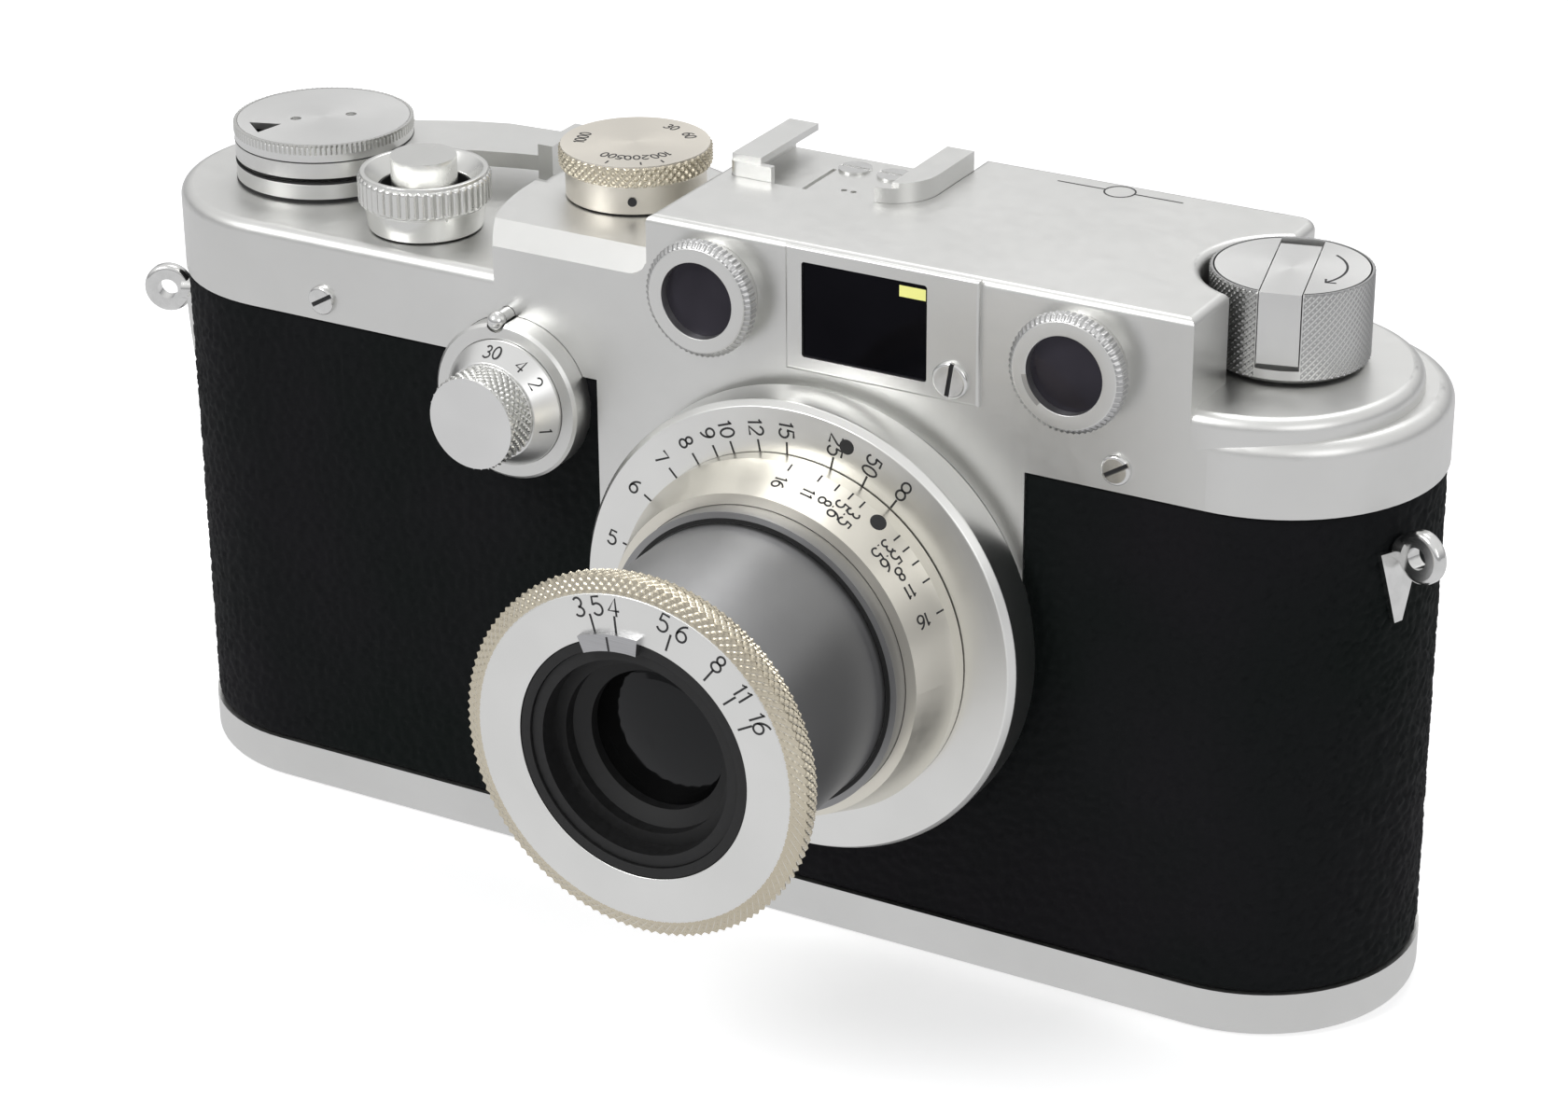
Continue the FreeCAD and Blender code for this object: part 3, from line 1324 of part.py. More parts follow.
def rangefinder_arm():
    """The cam follower: a lever on a vertical pin with a roller behind the lens sleeve."""
    low = dim("arm_bottom")
    high = dim("arm_top")
    x = dim("arm_pin_x")
    y = dim("arm_pin_y")
    half = dim("arm_half_width")
    lever = box("arm_lever", (x, dim("lens_x")), (y - half, y + half), (low, high))
    eye = rod("arm_eye_disc", dim("arm_eye"), low, high, x, y)
    roller = rod("arm_roller_disc", dim("arm_roller"), low, high, dim("lens_x"),
                 dim("arm_roller") + dim("running_fit") - dim("sleeve_back"))
    bore = rod("arm_bore", dim("arm_pin_radius") + dim("running_fit"), 40, 60, x, y)
    return subpart(cut("arm", fuse("arm_blank", lever, eye, roller), bore), "rangefinder_arm")


# ---------------------------------------------------------------- rewind side

def rewind_knob():
    """A drum with a slot across its top and down one side for the folded crank."""
    shaft_bore = dim("rewind_shaft") + dim("running_fit")
    drum = turned("rewind_drum", [
        (dim("knob_radius") - 0.4, dim("knob_bottom")),
        (dim("knob_radius"), dim("knob_bottom") + 0.4), (dim("knob_radius"), dim("knob_top") - 0.2),
        (dim("knob_radius") - 0.2, dim("knob_top")), (0, dim("knob_top")),
        (0, dim("knob_bore_top")), (shaft_bore, dim("knob_bore_top")),
        (shaft_bore, dim("knob_bottom"))])
    half = dim("crank_width") / 2 + dim("crank_slack")
    top = box("crank_slot", (-10, 10), (-half, half),
              (dim("knob_top") - dim("crank_thick") - dim("crank_slack"), 80))
    side = box("crank_side_slot", (5.4, 10), (-half, half), (dim("crank_foot") - 0.5, 80))
    pin = rod("knob_pin_hole", 0.45, -3.2, 3.2)
    place(pin, dim("crank_pivot"), 3.2, dim("knob_top") - dim("crank_thick") / 2, FORWARD)
    knob = cut("rewind_knob_all", drum, top, side, pin)
    return subpart(place(knob, dim("rewind_x"), 0, 0, crank_turn()), "rewind_knob")


def crank_turn():
    return FreeCAD.Rotation(FreeCAD.Vector(0, 0, 1), DIMENSIONS["crank_angle"])


def rewind_crank():
    """A flat bar hinged at one end, with a finger leg at the other."""
    half = dim("crank_width") / 2
    bottom = dim("knob_top") - dim("crank_thick")
    middle = dim("knob_top") - dim("crank_thick") / 2
    bar = box("crank_bar", (dim("crank_pivot"), dim("crank_reach")), (-half, half),
              (bottom, dim("knob_top")))
    leg = box("crank_leg", (dim("crank_reach") - 1.5, dim("crank_reach")), (-half, half),
              (dim("crank_foot"), dim("knob_top")))
    eye = rod("crank_eye", dim("crank_thick") / 2, 0, dim("crank_width"))
    place(eye, dim("crank_pivot"), half, middle, FORWARD)
    bore = rod("crank_bore", 0.5, 0, 8)
    place(bore, dim("crank_pivot"), 4, middle, FORWARD)
    crank = cut("crank", fuse("crank_blank", bar, leg, eye), bore)
    return subpart(place(crank, dim("rewind_x"), 0, 0, crank_turn()), "rewind_crank")


def rewind_crank_pin():
    """The hinge pin across the crank slot."""
    corner = crank_turn().multVec(FreeCAD.Vector(DIMENSIONS["crank_pivot"], 3.2, 0))
    pin = rod("crank_pin", 0.45, 0, 6.4)
    place(pin, dim("rewind_x") + corner.x, corner.y, dim("knob_top") - dim("crank_thick") / 2,
          crank_turn().multiply(FORWARD))
    return subpart(pin, "rewind_crank_pin")


def rewind_fork():
    shaft = rod("fork_shaft", dim("rewind_shaft"), dim("fork_bottom") + 3,
                dim("knob_bore_top") - 0.6)
    head = rod("fork_head", 3.2, dim("fork_bottom"), dim("fork_bottom") + 4)
    slot = box("fork_slot", (-0.8, 0.8), (-5, 5), (dim("fork_bottom") - 1, dim("fork_bottom") + 3))
    fork = cut("fork", fuse("fork_blank", shaft, head), slot)
    return subpart(place(fork, dim("rewind_x")), "rewind_fork")


# ---------------------------------------------------------------- lens

def lens_mount_ring():
    skin = dim("body_depth") / 2 - dim("shell_inset")
    ring = turned("mount", [
        (dim("mount_bore"), dim("mount_back")), (dim("mount_neck"), dim("mount_back")),
        (dim("mount_neck"), skin), (dim("mount_radius"), skin),
        (dim("mount_radius"), dim("mount_face")), (dim("mount_bore"), dim("mount_face"))])
    return subpart(on_lens_axis(ring), "lens_mount_ring")


def lens_flange():
    """The fixed part of the lens: screw thread and distance scale."""
    seat = dim("focus_neck") + dim("running_fit")
    bore = dim("sleeve_radius") + 0.1
    flange = turned("flange", [
        (bore, dim("barrel_back")), (dim("thread_radius"), dim("barrel_back")),
        (dim("thread_radius"), dim("mount_face")), (dim("flange_radius"), dim("mount_face")),
        (dim("flange_radius"), dim("flange_front") - 0.8),
        (dim("flange_radius") - 0.8, dim("flange_front")), (seat, dim("flange_front")),
        (seat, dim("flange_front") - 4.1), (bore, dim("flange_front") - 4.1)])
    return subpart(on_lens_axis(flange), "lens_flange")


def focus_ring():
    """The turning ring with the depth-of-field cone and the focusing lever."""
    bore = dim("sleeve_radius") + dim("running_fit")
    back = dim("flange_front") + 0.15
    ring = turned("focus_turned", [
        (bore, dim("flange_front") - 4.0), (dim("focus_neck"), dim("flange_front") - 4.0),
        (dim("focus_neck"), back), (dim("focus_radius"), back),
        (dim("focus_radius"), dim("focus_rim")), (dim("focus_nose"), dim("focus_front")),
        (bore, dim("focus_front"))])
    arm = box("focus_arm", (16.5, dim("focus_lever_reach")), (-2.6, 2.6), (back, back + 1.3))
    knob = rod("focus_knob_disc", dim("focus_knob"), back, back + 3.2, dim("focus_lever_reach"))
    turn = FreeCAD.Rotation(FreeCAD.Vector(0, 0, 1), DIMENSIONS["lever_angle"])
    handle = place(fuse("focus_handle", arm, knob), 0, 0, 0, turn)
    return subpart(on_lens_axis(fuse("focus", ring, handle)), "focus_ring")


def helicoid_sleeve():
    bore = dim("tube_radius") + dim("running_fit")
    sleeve = tube("sleeve", dim("sleeve_radius"), bore, dim("sleeve_back"), dim("sleeve_front"))
    return subpart(on_lens_axis(sleeve), "helicoid_sleeve")


def lens_tube():
    bore = dim("tube_radius") - dim("tube_wall")
    barrel = tube("barrel", dim("tube_radius"), bore, dim("tube_back"), dim("tube_front"))
    return subpart(on_lens_axis(barrel), "lens_tube")


def front_ring():
    """The knurled front rim with the aperture scale, screwed into the tube."""
    front = dim("lens_front")
    spigot = dim("tube_radius") - dim("tube_wall")
    inner = dim("ring_bore")
    back = dim("tube_front") - 2.6
    ring = turned("front", [
        (inner, back), (spigot, back), (spigot, dim("tube_front")),
        (dim("ring_back_radius"), dim("tube_front")),
        (dim("ring_heel"), dim("ring_heel_front")),
        (dim("ring_belly"), dim("ring_belly_front")),
        (dim("ring_radius"), dim("ring_rim")), (dim("ring_face_radius"), front),
        (dim("ring_opening"), front), (dim("ring_opening"), front - 1), (inner, front - 1)])
    return subpart(on_lens_axis(ring), "front_ring")


def aperture_ring():
    """The turning ring between scale and cell, with a folded finger tab."""
    front = dim("lens_front")
    inner = dim("cell_radius") + dim("running_fit")
    outer = dim("ring_opening") - dim("running_fit")
    heel = dim("ring_bore") - dim("running_fit")
    ring = turned("aperture", [
        (inner, front - 1.8), (heel, front - 1.8), (heel, front - 1.05), (outer, front - 1.05),
        (outer, front - 0.1), (inner, front - 0.1)])
    half = dim("tab_half")
    tab = prism("tab", [(10.7, -half), (12.1, -half - 0.4), (12.3, 0), (12.1, half + 0.4),
                        (10.7, half), (10.9, 0)], front + 0.05, front + 0.6)
    riser = prism("tab_riser", [(10.75, -half + 0.1), (11.15, -half), (11.4, 0), (11.15, half),
                                (10.75, half - 0.1), (10.9, 0)], front - 0.5, front + 0.2)
    turn = FreeCAD.Rotation(FreeCAD.Vector(0, 0, 1), DIMENSIONS["tab_angle"])
    grip = place(fuse("tab_grip", tab, riser), 0, 0, 0, turn)
    return subpart(on_lens_axis(fuse("aperture_all", ring, grip)), "aperture_ring")


def lens_cone():
    """The cell that holds the glasses, with the stepped front recess and filter thread."""
    outer = dim("cell_radius")
    front = dim("lens_front") - 0.4
    shoulder = dim("ring_bore")
    rear = dim("rear_glass")
    glass = dim("front_glass")
    thread = dim("filter_radius")
    cell = turned("cell", [
        (outer, front), (outer, 47.5), (shoulder, 47.5), (shoulder, 45.5), (outer, 45.5),
        (outer, dim("cell_back")), (rear, dim("cell_back")), (rear, dim("cell_stop")),
        (dim("iris_seat"), dim("cell_stop")), (dim("iris_seat"), dim("cell_stop") + 1.4),
        (glass - 0.6, dim("cell_stop") + 1.4), (glass - 0.6, dim("cell_seat")),
        (glass, dim("cell_seat")), (glass, dim("cell_seat") + 2.4),
        (dim("cell_step"), dim("cell_seat") + 3.1), (dim("cell_step"), dim("filter_floor")),
        (thread, dim("filter_floor")), (thread, front)])
    return subpart(on_lens_axis(cell), "lens_cone")


def lens_glasses():
    seat = dim("cell_seat") + 0.2
    glass = dim("front_glass")
    front = turned("front_glass_body", [
        (0, seat), (glass, seat), (glass, seat + 1.2), (5.2, seat + 1.7),
        (3.5, seat + 2.05), (1.8, seat + 2.25), (0, seat + 2.3)])
    back = dim("cell_back")
    rear_radius = dim("rear_glass")
    rear = turned("rear_glass_body", [
        (0, back - 0.4), (2.6, back - 0.2), (4.2, back + 0.1), (rear_radius, back + 0.6),
        (rear_radius, dim("cell_stop") - 0.4), (0, dim("cell_stop") - 0.4)])
    subpart(on_lens_axis(front), "front_element")
    subpart(on_lens_axis(rear), "rear_element")


def iris_diaphragm():
    low = dim("cell_stop") + 0.3
    iris = tube("iris", dim("iris_seat") - dim("running_fit"), dim("iris_hole"), low, low + 0.6)
    return subpart(on_lens_axis(iris), "iris_diaphragm")


# ---------------------------------------------------------------- assembly

def build():
    fill_sheet()
    body_shell()
    leather_covering()
    base_plate()
    base_lock_key()
    tripod_socket()
    strap_lug(-1, "strap_lug_left")
    strap_lug(1, "strap_lug_right")
    top_cover()
    cover_screws()
    accessory_shoe()
    accessory_shoe_screws()
    viewfinder_plate()
    viewfinder_window()
    rangefinder_window("left", dim("near_window_x"))
    rangefinder_window("right", dim("far_window_x"))
    eyepiece("view")
    eyepiece("range")
    finder_block()
    phases = gear_train()
    wind_base_ring()
    wind_lever()
    counter_cap()
    counter_dial()
    wind_gear(phases)
    idler_gear(phases)
    sprocket_shaft(phases)
    take_up_spool(phases)
    release_parts()
    speed_dial()
    speed_spindle()
    slow_dial_parts()
    slow_dial_lock_pin()
    flash_sync_socket()
    shutter_crate()
    curtains()
    film_pressure_plate()
    curtain_drum()
    rangefinder_arm()
    rewind_knob()
    rewind_crank()
    rewind_crank_pin()
    rewind_fork()
    lens_mount_ring()
    lens_flange()
    focus_ring()
    helicoid_sleeve()
    lens_tube()
    front_ring()
    aperture_ring()
    lens_cone()
    lens_glasses()
    iris_diaphragm()
    document.recompute()


def check():
    """Refuse to write anything from a failed object or an unsound shape."""
    failed = [thing.Name for thing in document.Objects
              if "Invalid" in thing.State or "Error" in thing.State]
    if failed:
        raise RuntimeError("failed objects: " + ", ".join(failed))
    for thing in SUBPARTS:
        if thing.Shape.isNull() or not thing.Shape.isValid():
            raise RuntimeError("unsound shape: " + thing.Label)


def write():
    os.makedirs("parts", exist_ok=True)
    for thing in SUBPARTS:
        thing.Shape.exportStep(os.path.join("parts", thing.Label + ".step"))
        print("%-28s %9.1f mm3  %d solid" % (thing.Label, thing.Shape.Volume,
                                             len(thing.Shape.Solids)))


build()
check()
write()
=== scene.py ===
"""Dresses the rangefinder camera: finishes, knurling, engraved scales, leather, light and view."""

import math

import bpy
from mathutils import Matrix, Vector, noise


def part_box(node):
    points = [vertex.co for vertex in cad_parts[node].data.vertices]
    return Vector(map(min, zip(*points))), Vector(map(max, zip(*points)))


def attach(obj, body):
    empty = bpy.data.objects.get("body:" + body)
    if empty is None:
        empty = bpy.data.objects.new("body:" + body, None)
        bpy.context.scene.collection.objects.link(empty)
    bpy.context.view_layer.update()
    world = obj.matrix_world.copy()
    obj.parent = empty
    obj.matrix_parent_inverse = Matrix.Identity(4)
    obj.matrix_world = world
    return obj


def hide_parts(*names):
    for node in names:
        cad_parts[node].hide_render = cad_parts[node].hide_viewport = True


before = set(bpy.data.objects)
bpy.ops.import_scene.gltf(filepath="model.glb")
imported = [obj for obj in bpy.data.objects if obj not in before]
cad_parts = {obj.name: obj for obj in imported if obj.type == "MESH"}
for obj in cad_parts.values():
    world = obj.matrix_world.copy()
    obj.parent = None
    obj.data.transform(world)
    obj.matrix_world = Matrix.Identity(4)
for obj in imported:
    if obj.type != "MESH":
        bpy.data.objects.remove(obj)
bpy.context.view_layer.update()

MM = 0.001
CRANK_TURN = -76            # direction of the folded crank, degrees
TAB_ANGLE = 99              # where the aperture tab rests, degrees
CONE_FOOT = 1.7             # focusing cone: start in front of the flange, radius, length and drop
CONE_RADIUS = 17.97
CONE_LENGTH = 4.6
CONE_DROP = 1.67
SLOW_SKIRT_FOOT = 5.8       # numbered skirt of the slow dial: ends behind its front, and width
SLOW_SKIRT_TOP = 3.6
SLOW_SKIRT_WIDTH = 1.56
COVER_SCREW, PLATE_SCREW = 1.5, 1.83    # head radii
PLATE_SCREW_INSET = 2.74
SLOT_WIDTH = 0.42
DISTANCE_DIGITS, DISTANCE_TICK = 20.4, 19.2
X = Vector((1, 0, 0))
Y = Vector((0, 1, 0))
Z = Vector((0, 0, 1))


# ---------------------------------------------------------------- places on the camera

class Axis:
    """A turning axis: points are given by radius, angle and distance along it, in millimetres."""

    def __init__(self, origin, first, second):
        self.origin = Vector(origin)
        self.first = first
        self.second = second
        self.along = first.cross(second)

    def radial(self, angle):
        turn = math.radians(angle)
        return self.first * math.cos(turn) + self.second * math.sin(turn)

    def tangent(self, angle):
        return self.radial(angle + 90)

    def at(self, radius, angle, height):
        return self.origin + self.radial(angle) * radius + self.along * height


def corners(node):
    """A CAD node's lowest and highest corner, in millimetres."""
    low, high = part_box(node)
    return Vector(low) / MM, Vector(high) / MM


def upright_axis(node):
    """The vertical axis through the middle of a round node; heights are above the table."""
    low, high = corners(node)
    return Axis(((low.x + high.x) / 2, (low.y + high.y) / 2, 0), X, Y)


def forward_axis(node):
    """The axis that points out of the front through the middle of a round node."""
    low, high = corners(node)
    return Axis(((low.x + high.x) / 2, 0, (low.z + high.z) / 2), X, Z)


def top_of(node):
    return corners(node)[1].z


def bottom_of(node):
    return corners(node)[0].z


def front_of(node):
    return -corners(node)[0].y


def half_width(node):
    low, high = corners(node)
    return (high.x - low.x) / 2


# ---------------------------------------------------------------- meshes

def piece(name, points, faces, body, material, sharp=35):
    """A mesh from points in millimetres, riding on a body."""
    mesh = bpy.data.meshes.new(name)
    mesh.from_pydata([point * MM for point in points], [], faces)
    mesh.validate()
    mesh.update()
    mesh.shade_smooth()
    mesh.set_sharp_from_angle(angle=math.radians(sharp))
    mesh.materials.append(material)
    thing = bpy.data.objects.new(name, mesh)
    bpy.context.scene.collection.objects.link(thing)
    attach(thing, body)
    return thing


def grid_faces(rows, columns, wrap):
    """Quads between rows of points; the last column joins the first when wrap is set."""
    faces = []
    for row in range(rows - 1):
        for column in range(columns if wrap else columns - 1):
            after = (column + 1) % columns
            faces.append((row * columns + column, row * columns + after,
                          (row + 1) * columns + after, (row + 1) * columns + column))
    return faces


def resampled(profile, step):
    """Points along an open line, about one step apart, with the corners kept."""
    points = [Vector(profile[0])]
    for start, end in zip(profile, profile[1:]):
        start, end = Vector(start), Vector(end)
        count = max(1, round((end - start).length / step))
        points.extend(start.lerp(end, part / count) for part in range(1, count + 1))
    return points


def softened(profile, radius, closed):
    """The line with its corners rounded off, so that edges catch a thin highlight."""
    points = [Vector(point) for point in profile]
    line = []
    for number, point in enumerate(points):
        if not closed and number in (0, len(points) - 1):
            line.append(point)
            continue
        before = points[number - 1] - point
        after = points[(number + 1) % len(points)] - point
        reach = min(radius, before.length / 2.2, after.length / 2.2)
        start = point + before.normalized() * reach
        end = point + after.normalized() * reach
        for part in range(5):
            share = part / 4
            line.append(start.lerp(point, share).lerp(point.lerp(end, share), share))
    return line


def lathe(name, nodes, body, material, axis, profile, closed=False, edge=0.12, sides=160):
    """A smooth turned piece from a line (radius, height), shown in place of CAD nodes.

    A closed line makes a ring; an open one makes a solid whose two ends are flat discs.
    """
    line = softened(profile, edge, closed)
    points = [axis.at(place.x, 360 * side / sides, place.y) for place in line
              for side in range(sides)]
    faces = grid_faces(len(line), sides, True)
    last = (len(line) - 1) * sides
    if closed:
        faces += [(last + side, last + (side + 1) % sides, (side + 1) % sides, side)
                  for side in range(sides)]
    else:
        faces.append(list(range(sides)))
        faces.append(list(range(last, last + sides)))
    thing = piece(name, points, faces, body, material)
    even = thing.modifiers.new("even_shading", "WEIGHTED_NORMAL")
    even.keep_sharp = True
    for node in nodes:
        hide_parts(node)
    return thing


def triangle(value):
    """A wave that climbs from 0 to 1 and back over each whole number."""
    share = value % 1
    return 1 - abs(2 * share - 1)


def straight_ridges(turn, along):
    return triangle(turn)


def round_flutes(turn, along):
    return min(1, 1.6 * math.sin(math.pi * (turn % 1)))


def diamonds(turn, along):
    return min(triangle(turn + along), triangle(turn - along))


def knurl(name, body, material, axis, profile, teeth, depth, pattern, samples=4,
          start=0, sweep=360, run_out=0.3):
    """A closed band of knurling whose ridges stand proud of the line (radius, height).

    The ridges die away within run_out of a ridge's pitch from both ends, or not at all.
    """
    wrap = sweep >= 360
    columns = teeth * samples + (0 if wrap else 1)
    mean_radius = sum(radius for radius, _ in profile) / len(profile)
    pitch = math.radians(sweep) * mean_radius / teeth
    line = resampled(profile, pitch / samples)
    lengths = [0]
    for first, second in zip(line, line[1:]):
        lengths.append(lengths[-1] + (second - first).length)
    points = []
    for place, length in zip(line, lengths):
        edge = min(length, lengths[-1] - length)
        fade = min(1, edge / (run_out * pitch)) if run_out else 1
        for column in range(columns):
            height = pattern(column / samples, length / pitch) * depth * fade
            angle = start + sweep * column / (teeth * samples)
            points.append(axis.at(place.x + height - 0.02, angle, place.y))
    for place in (line[-1], line[0]):
        points.extend(axis.at(place.x - 0.3, start + sweep * column / (teeth * samples), place.y)
                      for column in range(columns))
    rows = len(line) + 2
    faces = grid_faces(rows, columns, wrap)
    last = (rows - 1) * columns
    for column in range(columns if wrap else columns - 1):
        after = (column + 1) % columns
        faces.append((last + column, last + after, after, column))
    if not wrap:
        faces.append([row * columns for row in range(rows)])
        faces.append([row * columns + columns - 1 for row in reversed(range(rows))])
    return piece(name, points, faces, body, material, sharp=50)


# ---------------------------------------------------------------- engraved strokes

def bow(x, y, wide, tall, start, end):
    """Points on part of an ellipse, from one angle to another."""
    count = max(6, int(abs(end - start) / 18))
    turns = [math.radians(start + (end - start) * part / count) for part in range(count + 1)]
    return [(x + wide * math.cos(turn), y + tall * math.sin(turn)) for turn in turns]


GLYPHS = {
    "0": (0.56, [bow(0.28, 0.5, 0.28, 0.5, 0, 360)]),
    "1": (0.24, [[(0.02, 0.8), (0.2, 1.0), (0.2, 0.0)]]),
    "2": (0.56, [bow(0.28, 0.72, 0.27, 0.28, 165, -35) + [(0.0, 0.0), (0.58, 0.0)]]),
    "3": (0.54, [bow(0.26, 0.75, 0.23, 0.25, 150, -90) + bow(0.26, 0.25, 0.28, 0.25, 90, -150)]),
    "4": (0.6, [[(0.44, 0.0), (0.44, 1.0), (0.0, 0.3), (0.62, 0.3)]]),
    "5": (0.56, [[(0.52, 1.0), (0.1, 1.0), (0.05, 0.56)] + bow(0.27, 0.32, 0.3, 0.32, 125, -150)]),
    "6": (0.56, [bow(0.28, 0.3, 0.28, 0.3, 0, 360), bow(0.6, 0.32, 0.6, 0.68, 178, 100)]),
    "7": (0.54, [[(0.0, 1.0), (0.56, 1.0), (0.18, 0.0)]]),
    "8": (0.56, [bow(0.28, 0.76, 0.22, 0.24, -90, 270), bow(0.28, 0.26, 0.28, 0.26, 90, 450)]),
    "9": (0.56, [bow(0.28, 0.7, 0.28, 0.3, 0, 360), bow(-0.04, 0.68, 0.6, 0.68, -2, -80)]),
    ".": (0.12, [[(0.06, 0.0), (0.06, 0.1)]]),
    "o": (1.2, [bow(0.3, 0.5, 0.3, 0.27, 0, 360), bow(0.9, 0.5, 0.3, 0.27, 180, 540)]),
}
LETTER_GAP = 0.22
INDEX_ANGLE = 54.6
FILM_MARK_X = 30.85


def number_strokes(text, centre, across, upward, height):
    """The strokes of a plain number, centred on a point, as lines in space."""
    width = sum(GLYPHS[sign][0] for sign in text) + LETTER_GAP * (len(text) - 1)
    cursor = -width / 2
    strokes = []
    for sign in text:
        advance, lines = GLYPHS[sign]
        for line in lines:
            strokes.append([centre + across * (cursor + x) * height + upward * (y - 0.5) * height
                            for x, y in line])
        cursor += advance + LETTER_GAP
    return strokes


def ribbon(points, normal, width, proud, sunk):
    """Corner points and faces of one stroke as a thin closed strip on the surface."""
    corner_points = []
    for number, point in enumerate(points):
        before = points[max(number - 1, 0)]
        after = points[min(number + 1, len(points) - 1)]
        if (points[0] - points[-1]).length < 1e-6 and number in (0, len(points) - 1):
            before, after = points[-2], points[1]
        side = normal.cross(after - before).normalized() * width / 2
        corner_points.extend((point - side - normal * sunk, point + side - normal * sunk,
                              point + side + normal * proud, point - side + normal * proud))
    faces = []
    for number in range(len(points) - 1):
        base = number * 4
        for edge in range(4):
            after = (edge + 1) % 4
            faces.append((base + edge, base + after, base + 4 + after, base + 4 + edge))
    faces.append((0, 1, 2, 3))
    last = len(corner_points) - 4
    faces.append((last + 3, last + 2, last + 1, last))
    return corner_points, faces


def engraving(name, body, strokes, width, material, proud=0.02, sunk=0.05):
    """One mesh from strokes given as (line of points, surface normal)."""
    points = []
    faces = []
    for line, normal in strokes:
        new_points, new_faces = ribbon(line, normal, width, proud, sunk)
        faces.extend([index + len(points) for index in face] for face in new_faces)
        points.extend(new_points)
    return piece(name, points, faces, body, material)


# ---------------------------------------------------------------- materials

class Nodes:
    """A material's node tree, with short calls for the nodes used here."""

    def __init__(self, name):
        self.material = bpy.data.materials.new(name)
        self.material.use_nodes = True
        self.tree = self.material.node_tree
        self.shader = self.tree.nodes["Principled BSDF"]
        self.place = self.add("ShaderNodeTexCoord").outputs["Object"]

    def add(self, kind, **inputs):
        node = self.tree.nodes.new(kind)
        for key, value in inputs.items():
            node.inputs[key.replace("_", " ")].default_value = value
        return node

    def link(self, source, target):
        self.tree.links.new(source, target)

    def noise(self, scale, detail=2, vector=None):
        node = self.add("ShaderNodeTexNoise", Scale=scale, Detail=detail)
        self.link(vector or self.place, node.inputs["Vector"])
        return node.outputs["Fac"]

    def stretched(self, scale, centre=(0, 0, 0)):
        node = self.add("ShaderNodeMapping", Scale=scale, Location=centre)
        self.link(self.place, node.inputs["Vector"])
        return node.outputs["Vector"]

    def between(self, amount, low, high):
        """A value that runs from low to high as amount runs from 0 to 1."""
        node = self.add("ShaderNodeMapRange", To_Min=low, To_Max=high)
        self.link(amount, node.inputs["Value"])
        return node.outputs["Result"]

    def colours(self, amount, dark, light, low=0.0, high=1.0):
        ramp = self.tree.nodes.new("ShaderNodeValToRGB")
        ramp.color_ramp.elements[0].position = low
        ramp.color_ramp.elements[0].color = (*dark, 1)
        ramp.color_ramp.elements[1].position = high
        ramp.color_ramp.elements[1].color = (*light, 1)
        self.link(amount, ramp.inputs["Fac"])
        return ramp.outputs["Color"]

    def bump(self, height, strength, distance, after=None):
        node = self.add("ShaderNodeBump", Strength=strength, Distance=distance)
        self.link(height, node.inputs["Height"])
        if after is not None:
            self.link(after, node.inputs["Normal"])
        return node.outputs["Normal"]

    def set(self, **values):
        for key, value in values.items():
            socket = self.shader.inputs[key.replace("_", " ")]
            if isinstance(value, bpy.types.NodeSocket):
                self.link(value, socket)
            else:
                socket.default_value = value


def satin_metal(name, dark, light, rough=0.36, grain=9000, relief=0.12):
    """Blasted and plated metal: a fine even grain under a soft sheen."""
    nodes = Nodes(name)
    cloud = nodes.noise(60, 4)
    speck = nodes.noise(grain, 2)
    nodes.set(Base_Color=nodes.colours(cloud, dark, light, 0.3, 0.7), Metallic=1.0,
              Roughness=nodes.between(nodes.noise(900, 3), rough - 0.05, rough + 0.07),
              Normal=nodes.bump(speck, relief, 0.00002))
    return nodes.material


def turned_metal(name, axis, dark, light, rough=0.28, rings=2600, relief=0.1, gloss_turn=0.5):
    """Lathe-turned metal: fine rings around an axis and a highlight that fans out."""
    nodes = Nodes(name)
    shifted = nodes.add("ShaderNodeVectorMath")
    shifted.operation = "SUBTRACT"
    nodes.link(nodes.place, shifted.inputs[0])
    shifted.inputs[1].default_value = axis.origin * MM
    flat = nodes.add("ShaderNodeVectorMath")
    flat.operation = "MULTIPLY"
    nodes.link(shifted.outputs["Vector"], flat.inputs[0])
    flat.inputs[1].default_value = Vector((1, 1, 1)) - Vector(map(abs, axis.along))
    radius = nodes.add("ShaderNodeVectorMath")
    radius.operation = "LENGTH"
    nodes.link(flat.outputs["Vector"], radius.inputs[0])
    line = nodes.add("ShaderNodeCombineXYZ")
    nodes.link(radius.outputs["Value"], line.inputs["X"])
    groove = nodes.noise(rings, 3, line.outputs["Vector"])
    tangent = nodes.tree.nodes.new("ShaderNodeTangent")
    tangent.direction_type = "RADIAL"
    tangent.axis = "Y" if abs(axis.along.y) > 0.5 else "Z"
    nodes.link(tangent.outputs["Tangent"], nodes.shader.inputs["Tangent"])
    nodes.set(Base_Color=nodes.colours(nodes.noise(90, 3), dark, light, 0.3, 0.7), Metallic=1.0,
              Anisotropic=gloss_turn, Roughness=nodes.between(groove, rough - 0.04, rough + 0.06),
              Normal=nodes.bump(groove, relief, 0.00002))
    return nodes.material


def polished_metal(name, tint, rough=0.16):
    nodes = Nodes(name)
    wear = nodes.noise(700, 4)
    darker = tuple(part * 0.9 for part in tint)
    nodes.set(Base_Color=nodes.colours(wear, darker, tint, 0.35, 0.65), Metallic=1.0,
              Roughness=nodes.between(wear, rough - 0.04, rough + 0.08),
              Normal=nodes.bump(nodes.noise(2500, 2), 0.05, 0.00002))
    return nodes.material


